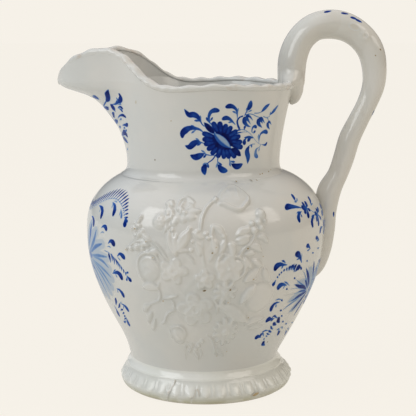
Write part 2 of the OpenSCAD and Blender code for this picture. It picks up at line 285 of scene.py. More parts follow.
def make(name, points, faces, material, stands_for=(), tone=None, normals=None):
    """A smooth mesh piece from points in millimetres, which rides on the body."""
    mesh = bpy.data.meshes.new(name)
    points = np.asarray(points, float).reshape(-1, 3)
    if isinstance(faces, np.ndarray):
        faces = faces.tolist()
    mesh.from_pydata((points * MM).tolist(), [], faces)
    mesh.validate()
    mesh.update()
    mesh.shade_smooth()
    if normals is not None:
        mesh.normals_split_custom_set_from_vertices(np.reshape(normals, (-1, 3)).tolist())
    if tone is not None:
        layer = mesh.attributes.new("tone", "FLOAT", "POINT")
        layer.data.foreach_set("value", np.asarray(tone, np.float32).ravel())
    piece = bpy.data.objects.new(name, mesh)
    bpy.context.scene.collection.objects.link(piece)
    mesh.materials.append(material)
    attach(piece, ROOT)
    if stands_for:
        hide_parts(*stands_for)
    return piece


def stack(*grids):
    """Joins (points, faces) pairs into one."""
    points, faces, offset = [], [], 0
    for p, f in grids:
        p = np.asarray(p, float).reshape(-1, 3)
        points.append(p)
        faces.extend((np.asarray(q) + offset).tolist() for q in f)
        offset += len(p)
    return np.concatenate(points), faces


def revolve(outline, columns):
    """A closed ring turned from a closed outline of (r, z), outside to the left."""
    outline = np.asarray(outline, float)
    a = np.linspace(0, 360, columns, endpoint=False)
    r, z = (outline[:, k][:, None] + np.zeros(columns) for k in (0, 1))
    c, s = polar(a)
    points = np.stack([r * c, r * s, z], -1)
    return points, grid_faces(len(outline), columns, close_columns=True, close_rows=True)


def offset_outline(points, distance):
    """An open outline moved to its left by distance."""
    t = unit(np.gradient(points, axis=0))
    return points + distance * np.stack([-t[:, 1], t[:, 0]], -1)


# ---- materials ---------------------------------------------------------------


class Nodes:
    """Short calls for building a node tree of a material or a world."""

    def __init__(self, name, library="materials"):
        self.material = getattr(bpy.data, library).new(name)
        self.material.use_nodes = True
        self.tree = self.material.node_tree
        self.shader = self.tree.nodes.get("Principled BSDF")

    def add(self, kind, **values):
        """A node with its settings and inputs, whose names are written with _ for a space."""
        node = self.tree.nodes.new(kind)
        for key, value in values.items():
            if hasattr(node, key):
                setattr(node, key, value)
            else:
                node.inputs[key.replace("_", " ")].default_value = value
        return node

    def link(self, source, target):
        self.tree.links.new(source, target)

    def feed(self, target, value):
        """Links another node's output to an input, or sets a number or a colour on it."""
        if isinstance(value, bpy.types.NodeSocket):
            self.link(value, target)
        elif isinstance(value, tuple):
            target.default_value = (*value, 1.0)
        else:
            target.default_value = value

    def finish(self, **values):
        """Sets numbers on the shader's own sockets."""
        for key, value in values.items():
            self.shader.inputs[key.replace("_", " ")].default_value = value

    def place(self):
        return self.add("ShaderNodeTexCoord").outputs["Object"]

    def axis(self, place, name):
        """One coordinate of a place."""
        split = self.add("ShaderNodeSeparateXYZ")
        self.link(place, split.inputs["Vector"])
        return split.outputs[name]

    def noise(self, place, scale, detail):
        node = self.add("ShaderNodeTexNoise", Scale=scale, Detail=detail)
        self.link(place, node.inputs["Vector"])
        return node.outputs["Fac"]

    def ramp(self, value, stops):
        node = self.add("ShaderNodeValToRGB")
        elements = node.color_ramp.elements
        while len(elements) < len(stops):
            elements.new(0.5)
        for element, (at, colour) in zip(elements, stops):
            element.position = at
            element.color = (*colour, 1.0)
        self.link(value, node.inputs["Fac"])
        return node.outputs["Color"]

    def mix(self, factor, first, second):
        """A mix of two colours."""
        node = self.add("ShaderNodeMix", data_type="RGBA")
        for socket, value in ((0, factor), (6, first), (7, second)):
            self.feed(node.inputs[socket], value)
        return node.outputs[2]

    def math(self, operation, first, second):
        node = self.add("ShaderNodeMath", operation=operation)
        self.feed(node.inputs[0], first)
        self.feed(node.inputs[1], second)
        return node.outputs[0]

    def span(self, value, low, high, out_low=0.0, out_high=1.0):
        """Maps low..high to out_low..out_high, with soft ends."""
        node = self.add(
            "ShaderNodeMapRange", interpolation_type="SMOOTHSTEP",
            From_Min=low, From_Max=high, To_Min=out_low, To_Max=out_high,
        )
        self.link(value, node.inputs["Value"])
        return node.outputs["Result"]

    def bump(self, *heights):
        """Chains bumps of (value socket, distance in metres) into the shader."""
        previous = None
        for value, distance in heights:
            node = self.add("ShaderNodeBump", Strength=1.0, Distance=distance)
            self.link(value, node.inputs["Height"])
            if previous:
                self.link(previous, node.inputs["Normal"])
            previous = node.outputs["Normal"]
        self.link(previous, self.shader.inputs["Normal"])


# Colours of the glaze, and ramps from thin to thick paint.
WHITE = (0.74, 0.73, 0.69)
COOL = (0.69, 0.70, 0.675)
COBALT = [
    (0.0, (0.46, 0.54, 0.62)), (0.22, (0.22, 0.36, 0.58)), (0.5, (0.025, 0.115, 0.44)),
    (0.78, (0.002, 0.024, 0.22)), (1.0, (0.001, 0.004, 0.075)),
]
RUST = [(0.0, (0.68, 0.65, 0.57)), (0.35, (0.50, 0.38, 0.20)), (0.75, (0.10, 0.08, 0.05))]


def speckle(n, place, colour):
    """Small brown specks, each in the middle of a rare cell."""
    cells = n.add("ShaderNodeTexVoronoi", Scale=210)
    n.link(place, cells.inputs["Vector"])
    pick = n.add("ShaderNodeSeparateColor")
    n.link(cells.outputs["Color"], pick.inputs["Color"])
    chosen = n.math("GREATER_THAN", pick.outputs["Red"], 0.985)
    dot = n.math("LESS_THAN", cells.outputs["Distance"], 0.075)
    speck = n.math("MULTIPLY", chosen, dot)
    return n.mix(n.math("MULTIPLY", speck, 0.75), colour, (0.20, 0.15, 0.09))


def stain_foot(n, place, colour):
    """Dirt that fades out upwards, and a rim of bare clay on which the jug stands."""
    height = n.axis(place, "Z")
    low = n.span(height, 0.0, 0.0042, 1.0, 0.0)
    mottled = n.math("MULTIPLY", low, n.span(n.noise(place, 120, 3), 0.3, 0.6, 0.35, 1.0))
    colour = n.mix(mottled, colour, (0.47, 0.45, 0.28))
    bare = n.span(height, 0.0002, 0.0007, 1.0, 0.0)
    return n.mix(bare, colour, (0.58, 0.50, 0.38))


def glaze(name, base=WHITE, pooled=COOL, foot=False, paint=None, worn=0.0):
    """Glazed porcelain: a cloudy off-white with specks, pin holes and a soft orange peel.
    The tone of a point is the thickness of the paint there. On plain glaze it greys the colour in a
    hollow, as pooled glaze and painted shade."""
    n = Nodes(name)
    place = n.place()
    cloud = n.span(n.noise(place, 38, 3), 0.35, 0.65)
    colour = n.mix(cloud, base, pooled)
    blush = n.span(n.noise(place, 13, 2), 0.58, 0.74, 0.0, 0.35)
    colour = n.mix(blush, colour, (0.64, 0.60, 0.53))
    tone = n.add("ShaderNodeAttribute", attribute_name="tone").outputs["Fac"]
    if paint:
        uneven = n.span(n.noise(place, 420, 2), 0.25, 0.75, 0.86, 1.06)
        ink = n.ramp(n.math("MULTIPLY", tone, uneven), paint)
        colour = n.mix(n.span(tone, 0.0, 0.2), colour, ink)
    else:
        # Plain glaze: the tone greys the colour in hollows, as pooled glaze and painted shade.
        colour = n.mix(n.math("MULTIPLY", tone, 0.55), colour, (0.50, 0.51, 0.47))
    colour = speckle(n, place, colour)
    if worn:
        rubbed = n.span(n.noise(place, 150, 4), 0.55, 0.75, 0.0, worn)
        colour = n.mix(rubbed, colour, (0.55, 0.42, 0.31))
    if foot:
        colour = stain_foot(n, place, colour)
    n.link(colour, n.shader.inputs["Base Color"])
    rough = n.span(n.noise(place, 90, 3), 0.3, 0.7, 0.09, 0.17)
    n.link(rough, n.shader.inputs["Roughness"])
    # The cobalt has sunk into the glaze, so it barely shines on its own.
    shine, coat = (0.06, 0.03) if paint is COBALT else (0.5, 0.5)
    n.finish(IOR=1.5, Specular_IOR_Level=shine, Coat_Weight=coat, Coat_Roughness=0.05)
    peel = n.noise(place, 260, 2)
    swell = n.noise(place, 55, 2)
    n.bump((swell, 0.00022), (peel, 0.00002))
    return n.material


# ---- the body's pieces -------------------------------------------------------


FOOT_COLUMNS = 288
TONGUES = 36
TONGUE_COLUMNS = 28
TONGUE_ROWS = 46


def foot_outline():
    """Outside of the foot from the table to the waist, as (r, z)."""
    return through(
        [
            (FOOT_R - 2.2, 0), (FOOT_R - 0.7, 1.1), (FOOT_R - 0.05, 2.9), (FOOT_R - 0.6, 4.9),
            (FOOT_R - 1.8, 6.9), (FOOT_R - 2.85, 8.7), (FOOT_R - 3.15, 9.5),
            (FOOT_R - 3.45, 9.85), (FOOT_R - 4.0, 10.7), (WAIST_R + 0.15, WAIST_Z - 0.6),
            (WAIST_R, WAIST_Z),
        ],
        70,
    )


def make_foot(material):
    """The turned foot with its recess. Its shading runs on into the belly's at the waist."""
    outside = foot_outline()
    inner = WAIST_R - WALL
    recess = through(
        [
            (inner, WAIST_Z), (inner, WAIST_Z - 3), (inner + 0.6, 6), (inner + 1.8, 3),
            (FOOT_R - 4.6, 0.6), (FOOT_R - 4.2, 0),
        ],
        30,
    )
    outline = np.concatenate([outside, recess])
    points, faces = revolve(outline, FOOT_COLUMNS)
    points[..., 0] += sway(points[..., 2])
    t = np.gradient(outline, axis=0)
    t[len(outside) - 1] = outside[-1] - outside[-2]
    t[len(outside)] = recess[1] - recess[0]
    t = unit(t)
    a = np.linspace(0, 360, FOOT_COLUMNS, endpoint=False)
    c, s = polar(a)
    normals = np.stack([t[:, 1:] * c, t[:, 1:] * s, -t[:, :1] + 0 * a], -1)
    blend = ease(outline[:, 1], WAIST_Z - 1.2, WAIST_Z)[:, None, None]
    blend = np.where(np.arange(len(outline))[:, None, None] < len(outside), blend, 0)
    seam = belly_normal(a[None], np.full((1, 1), WAIST_Z))
    normals = normals * (1 - blend) + seam * blend
    make("foot_ring", points, faces, material, ["foot"], normals=normals)


def foot_outline_at(z):
    """Radius of the foot's outside at a height."""
    line = foot_outline()
    upper = line[np.argmax(line[:, 0]):]
    lower = line[: np.argmax(line[:, 0]) + 1]
    z = np.asarray(z, float)
    return np.where(
        z > upper[0, 1],
        np.interp(z, upper[:, 1], upper[:, 0]),
        np.interp(z, lower[:, 1], lower[:, 0]),
    )


def make_foot_border(material):
    """Flat tongues, round at their lower end, with a thin reed between two of them."""
    columns = TONGUES * TONGUE_COLUMNS
    a = np.linspace(0, 360, columns, endpoint=False)
    z = np.linspace(1.9, 9.0, TONGUE_ROWS)[:, None] + np.zeros(columns)
    pitch = 2 * np.pi * (FOOT_R - 1) / TONGUES
    s = ((a / 360 * TONGUES + 0.5) % 1 - 0.5) * pitch
    number = np.floor(a / 360 * TONGUES + 0.5) % TONGUES
    uneven = 0.12 * np.sin(number * 2.4) + 0.1 * np.sin(number * 5.1 + 1)
    end = 3.1 + uneven
    round_end = np.clip((end + 1.6 - z) / 1.6, 0, 1)
    half = 1.85 * np.sqrt(np.clip(1 - round_end**2, 0, 1)) + 1e-3
    across = np.clip(1 - (s / half) ** 2, 0, 1)
    tongue = 0.38 * across**0.75 * ease(-z, -8.0, -6.1) * (half > 0.01)
    bead = 0.26 * np.exp(-(((z - end - 1.0) / 0.8) ** 2) - (s / 1.0) ** 2)
    edge = pitch / 2 - np.abs(s)
    reed = 0.26 * np.exp(-((edge / 0.33) ** 2)) * ease(z, 3.4, 4.4) * ease(-z, -8.1, -6.6)
    # The mould is crisper under the handle than under the spout.
    lift = (tongue + bead * (tongue > 0) + reed) * (0.95 - 0.3 * np.cos(np.radians(a - 200)))
    # Glaze rounds the edges off, and the two rims of the band dip into the foot.
    lift = (lift + np.roll(lift, 1, 1) + np.roll(lift, -1, 1)) / 3
    lift[1:-1] = (lift[2:] + 2 * lift[1:-1] + lift[:-2]) / 4
    lift += 0.03
    lift[[0, -1]] = -0.25
    step = 0.1
    slope = (foot_outline_at(z + step) - foot_outline_at(z - step)) / (2 * step)
    lean = np.sqrt(1 + slope**2)
    r, h = foot_outline_at(z) + lift / lean, z - lift * slope / lean
    c, sn = polar(a)
    points = np.stack([r * c + sway(h), r * sn, h], -1)
    # The tone greys the glaze where the band lies low, between and below the tongues and on its sunken
    # rims: pooled glaze and painted shade.
    tone = np.clip(0.6 - lift * 1.6, 0, 1)
    faces = grid_faces(TONGUE_ROWS, columns, close_columns=True)
    make("foot_tongues", points, faces, material, ["foot_border"], tone)


def make_base_disc(material):
    """Floor of the vessel, slightly domed, with the turner's ring underneath."""
    r = WAIST_R - WALL
    outline = [
        (0.01, WAIST_Z - 2.6), (r * 0.4, WAIST_Z - 2.7), (r * 0.75, WAIST_Z - 2.9),
        (r * 0.8, WAIST_Z - 3.1), (r, WAIST_Z - 3),
        (r, WAIST_Z + 0.05), (r * 0.6, WAIST_Z), (0.01, WAIST_Z - 0.1),
    ]
    points, faces = revolve(outline, 96)
    make("vessel_floor", points, faces, material, ["base_disc"])


def make_belly(material):
    """The hollow belly, with closer rows towards the shoulder."""
    t = np.linspace(0, 1, 190)
    z = WAIST_Z + (SHOULDER_Z - WAIST_Z) * (1 - (1 - t) ** 1.6)
    a = np.linspace(0, 360, 360, endpoint=False)
    outside = belly_point(a[None], z[:, None])
    line = np.column_stack([belly_radius(0, z) - wobble(0, z), z])
    inner = offset_outline(line, WALL)
    inner[:, 1] = np.clip(inner[:, 1], WAIST_Z, SHOULDER_Z)
    inner = inner[::-6]
    c, s = polar(a)
    inside = np.stack(
        [inner[:, :1] * c, inner[:, :1] * s, inner[:, 1:] + np.zeros(len(a))], -1
    )
    points = np.concatenate([outside, inside])
    faces = grid_faces(len(points), len(a), close_columns=True, close_rows=True)
    lining = -belly_normal(a[None], inner[:, 1:])
    normals = np.concatenate([belly_normal(a[None], z[:, None]), lining])
    make("vessel_belly", points, faces, material, ["belly"], normals=normals)


def wall_sheet(angles, z, closed=False):
    """Outside and inside of the wall at heights z, with a column for each angle."""
    a = angles[None] + np.zeros_like(z)
    points = np.concatenate([wall_point(a, z), wall_inside(a[::-3], z[::-3])])
    normals = np.concatenate([wall_normal(a, z), -wall_normal(a[::-3], z[::-3])])
    faces = grid_faces(len(points), len(angles), close_columns=closed, close_rows=True)
    return points, faces, normals


def wall_heights(angles, rows):
    """Heights from the spout's foot up to the wall's top, for each angle."""
    t = np.linspace(0, 1, rows)[:, None]
    return SPOUT_FOOT_Z + (wall_top(angles) - SPOUT_FOOT_Z) * t


def end_cap(points, faces, columns):
    """Closes the two open sides of a grid with one many-sided face each."""
    rows = len(points)
    first = [r * columns for r in range(rows)]
    last = [r * columns + columns - 1 for r in range(rows)]
    return [*np.asarray(faces).tolist(), first, last[::-1]]


def make_neck(material):
    """The ring below the spout's foot, and the wall round the back between its flanks."""
    ring = SPOUT_MIDDLE + np.linspace(-180, 180, 360, endpoint=False)
    t = np.linspace(0, 1, 30)[:, None]
    low = SHOULDER_Z - 0.8
    z = low + (SPOUT_FOOT_Z - low) * t**1.4 + np.zeros_like(ring)
    collar, collar_faces, collar_normals = wall_sheet(ring, z, closed=True)
    flank = np.linspace(SPOUT_MIDDLE + SPOUT_HALF, SPOUT_MIDDLE + 360 - SPOUT_HALF, 260)
    wall, wall_faces, wall_normals = wall_sheet(flank, wall_heights(flank, 90))
    wall_faces = end_cap(wall, wall_faces, len(flank))
    points, faces = stack((collar, collar_faces), (wall, wall_faces))
    normals = np.concatenate([n.reshape(-1, 3) for n in (collar_normals, wall_normals)])
    make("vessel_neck", points, faces, material, ["neck"], normals=normals)


def make_spout(material):
    """The beak, with closer columns at its middle."""
    t = np.linspace(-1, 1, 221)
    angles = SPOUT_MIDDLE + SPOUT_HALF * (0.45 * t + 0.55 * t**3)
    points, faces, normals = wall_sheet(angles, wall_heights(angles, 150))
    faces = end_cap(points, faces, len(angles))
    make("pouring_spout", points, faces, material, ["spout"], normals=normals)


HANDLE_EDGE = 10.0  # half of the angle that the handle covers on the lip
RIM_STEPS = 1500
RIM_SIDES = 22


def make_rim(material):
    """Moulded lip: a shiny bevelled strip with uneven scallops and beads."""
    a = np.linspace(HANDLE_EDGE, 360 - HANDLE_EDGE, RIM_STEPS)
    top = wall_top(a)
    p, q = wall_point(a, top), wall_inside(a, top)
    flat = p - q
    flat[:, 2] = 0
    wide = np.linalg.norm(flat, axis=1, keepdims=True)
    out = flat / wide
    path = way_along(p)
    # Each is a share from 0 to 1, by the distance along the lip in millimetres.
    wave = 0.5 + 0.5 * np.cos(2 * np.pi * (path / 8.2 + 0.12 * np.sin(path / 9)))
    bead = np.abs(np.sin(np.pi * (path / 3.7 + 0.15 * np.sin(path / 5.3))))
    rough = 0.5 + 0.3 * np.sin(path / 2.9 + 2 * np.sin(path / 7)) + 0.2 * np.sin(path / 1.3)
    drift = 0.5 + 0.5 * np.sin(path / 13 + 1.1)
    full = 0.3 + 0.7 * ease(off_spout(a), 26, 52)
    section = []
    for k in range(RIM_SIDES):
        # b runs from under the outer edge, over the top and down inside.
        b = math.pi * k / (RIM_SIDES - 1) * 1.12 - 0.12 * math.pi
        reach, high = math.cos(b), math.sin(b)
        low = math.exp(-((b - 0.15) / 0.5) ** 2)
        bevel = math.exp(-((b - 0.9) / 0.45) ** 2)
        over = 0.72 * float(ease(b, -0.38, 0.3)) * full if reach > 0 else 0.25
        side = (wide[:, 0] / 2 + over) * abs(reach) ** 0.7 * math.copysign(1, reach)
        side = side - 0.42 * bevel * (1 - wave)
        side = side + low * full * (0.3 * bead * drift - 0.1 + 0.12 * rough)
        height = BORDER_H * math.copysign(abs(high) ** 0.8, high)
        height = height * (1 - 0.30 * (1 - wave) * max(high, 0)) - low * 0.3 * bead * drift
        height = height + 0.1 * (rough - 0.5) * max(high, 0)
        rise = np.array([0, 0, 1]) * height[:, None]
        section.append((p + q) / 2 + out * side[:, None] + rise)
    points = np.stack(section, 0)
    faces = end_cap(points, grid_faces(RIM_SIDES, RIM_STEPS, close_rows=True), RIM_STEPS)
    make("moulded_rim", points, faces, material, ["rim_border"])


# ---- the handle --------------------------------------------------------------

HANDLE_R = 5.6
HANDLE_SIDES = 120
HANDLE_ROWS = 560
RIM_EDGE = float(wall_top(np.array([0.0]))[0])
# Centre line of the branch, from the neck over the top and down to the belly: (x, z, radius).
LOOP = [
    (33.7, RIM_EDGE - 7.4, 0.5), (34.5, RIM_EDGE - 5.6, 2.3), (34.5, RIM_EDGE - 3, 3.9),
    (34, RIM_EDGE - 0.4, 4.9), (33.8, 125, 5.5), (34.5, 131.4, 5.6), (37.4, 138, 5.4),
    (42.6, HANDLE_TOP - 6.8, 5.4), (48.8, HANDLE_TOP - HANDLE_R, 5.6), (54.6, 142.7, 5.6),
    (60.6, 139, 5.4), (64.7, 133.6, 5.1), (66.4, 127, 4.7), (66.3, 120, 4.4),
    (64, 113, 4.1), (60.6, 106, 4.0), (57.3, 99, 4.1), (55.2, 92, 4.1), (52.8, 85, 4.0),
    (49.8, 78, 4.3), (48.4, 70, 3.9), (48, 62, 3.8), (46.7, 54, 3.6), (43.7, 47, 3.0),
    (40.6, 42.6, 1.6),
]
LOOP_LINE = through(LOOP, 360)
LOOP_WAY = way_along(LOOP_LINE[:, :2])
LOOP_LENGTH = float(LOOP_WAY[-1])


def branch_place(x, z):
    """Angle and way along of the near side of the handle at a place seen from the front."""
    k = np.argmin(np.hypot(LOOP_LINE[:, 0] - x, LOOP_LINE[:, 1] - z))
    ahead = LOOP_LINE[min(k + 1, len(LOOP_LINE) - 1)] - LOOP_LINE[max(k - 1, 0)]
    out = np.array([-ahead[1], ahead[0]]) / np.hypot(ahead[0], ahead[1])
    off = (x - LOOP_LINE[k, 0]) * out[0] + (z - LOOP_LINE[k, 1]) * out[1]
    return -math.degrees(math.acos(np.clip(off / LOOP_LINE[k, 2], -0.97, 0.97))), LOOP_WAY[k]


KNOB_ANGLE, KNOB_WAY = branch_place(61.7, 139.3)

# Knots and pruned twigs on the branch: (way along, angle, length, half angle, height).
KNOTS = [
    (KNOB_WAY, KNOB_ANGLE, 1.7, 19, 0.95), (KNOB_WAY, KNOB_ANGLE, 0.8, 9, -0.85),
    (KNOB_WAY - 5, KNOB_ANGLE + 14, 2.6, 16, 0.4), (120, 165, 5.5, 40, 0.8),
    (108, -30, 6, 45, 0.35), (152, 10, 7, 45, 0.5), (140, 195, 5, 40, 0.4),
    (56, 20, 7, 50, 0.25),
]


def branch_point(b, way, lift=0.0):
    """Point on the handle, by angle about its centre line and way along the line. Angle 0
    is its outer back, and -90 faces the viewer."""
    b, way = together(b, way)
    x0, z0, r = (np.interp(way, LOOP_WAY, LOOP_LINE[:, k]) for k in range(3))
    ahead = [np.gradient(LOOP_LINE[:, k], LOOP_WAY) for k in range(2)]
    tx, tz = (np.interp(way, LOOP_WAY, part) for part in ahead)
    size = np.hypot(tx, tz)
    tx, tz = tx / size, tz / size
    # A keel on the near side of the limb at the rim, faint facets beyond it, and the knots.
    off = (b + 90 + 6 * np.sin(way / 9) + 180) % 360 - 180
    keel = np.clip(1 - np.abs(off) / 58, 0, 1) * ease(way, 5, 11) * ease(-way, -46, -33)
    r = r * (1 + 0.27 * keel - 0.05 * ease(keel, 0, 0.1))
    facets = 0.035 * np.cos(np.radians(3 * b) + way / 26) * ease(way, 40, 60)
    r = r * (1 + facets) + 0.12 * np.sin(way / 4.7) * ease(way, 30, 50)
    for at, angle, length, half, height in KNOTS:
        gap = (b - angle + 180) % 360 - 180
        r = r + height * np.exp(-(((way - at) / length) ** 2) - (gap / half) ** 2)
    r = r + np.asarray(lift)
    c, s = polar(b)
    x, y, z = x0 - tz * r * c, r * s, z0 + tx * r * c
    # The upper end spreads sideways where it laps over the rim, and hugs the round neck.
    spread = ease(-z, -(RIM_EDGE + 7), -(RIM_EDGE - 1)) * ease(-way, -40, -20)
    below = ease(-z, -RIM_EDGE, -(RIM_EDGE - 4)) * ease(-way, -40, -20)
    y = y * (1 + 0.75 * spread * (1 - 0.6 * below))
    x = x - spread * y**2 / 66
    # Neither end goes deeper than just under the surface that it is luted to.
    a = np.degrees(np.arctan2(y, x + NECK_SHIFT))
    wall = np.hypot(x + NECK_SHIFT, y)
    skin = neck_radius(a, np.clip(z, SHOULDER_Z, RIM_EDGE)) - 0.5
    push = np.where((way < 30) & (z < RIM_EDGE + 0.4), np.maximum(skin / wall, 1), 1)
    x, y = (x + NECK_SHIFT) * push - NECK_SHIFT, y * push
    radius = np.maximum(np.hypot(x, y), 1)
    a = np.degrees(np.arctan2(y, x))
    belly = belly_radius(a, np.clip(z, WAIST_Z, SHOULDER_Z)) - 0.2
    push = np.where((way > 60) & (z < SHOULDER_Z), np.maximum(belly / radius, 1), 1)
    return np.stack([x * push, y * push, z], -1)


def make_handle(material):
    """A looping branch, which laps over the rim and runs down on to the belly."""
    way = np.linspace(0, LOOP_LENGTH, HANDLE_ROWS)
    b = np.linspace(0, 360, HANDLE_SIDES, endpoint=False)
    points = branch_point(b[None], way[:, None])
    faces = grid_faces(HANDLE_ROWS, HANDLE_SIDES, close_columns=True).tolist()
    last = (HANDLE_ROWS - 1) * HANDLE_SIDES
    faces.append(list(range(HANDLE_SIDES))[::-1])
    faces.append([last + k for k in range(HANDLE_SIDES)])
    make("branch_handle", points, faces, material, ["handle", "handle_knot"])


# ---- flowers in relief -------------------------------------------------------

# Shapes of the relief on the belly, at (turn, z), in millimetres and degrees:
# a bump is (turn, z, radius, height), with an upright radius as well if it is oval,
# a mound is (turn, z, radius, height, upright radius),
# a ridge or a leaf is (half width, height, turn, z, turn, z, ...),
# a rose is (turn, z, radius, height, spin), and
# a flower is (turn, z, radius, height, petals, spin, half width of a petal, cup).

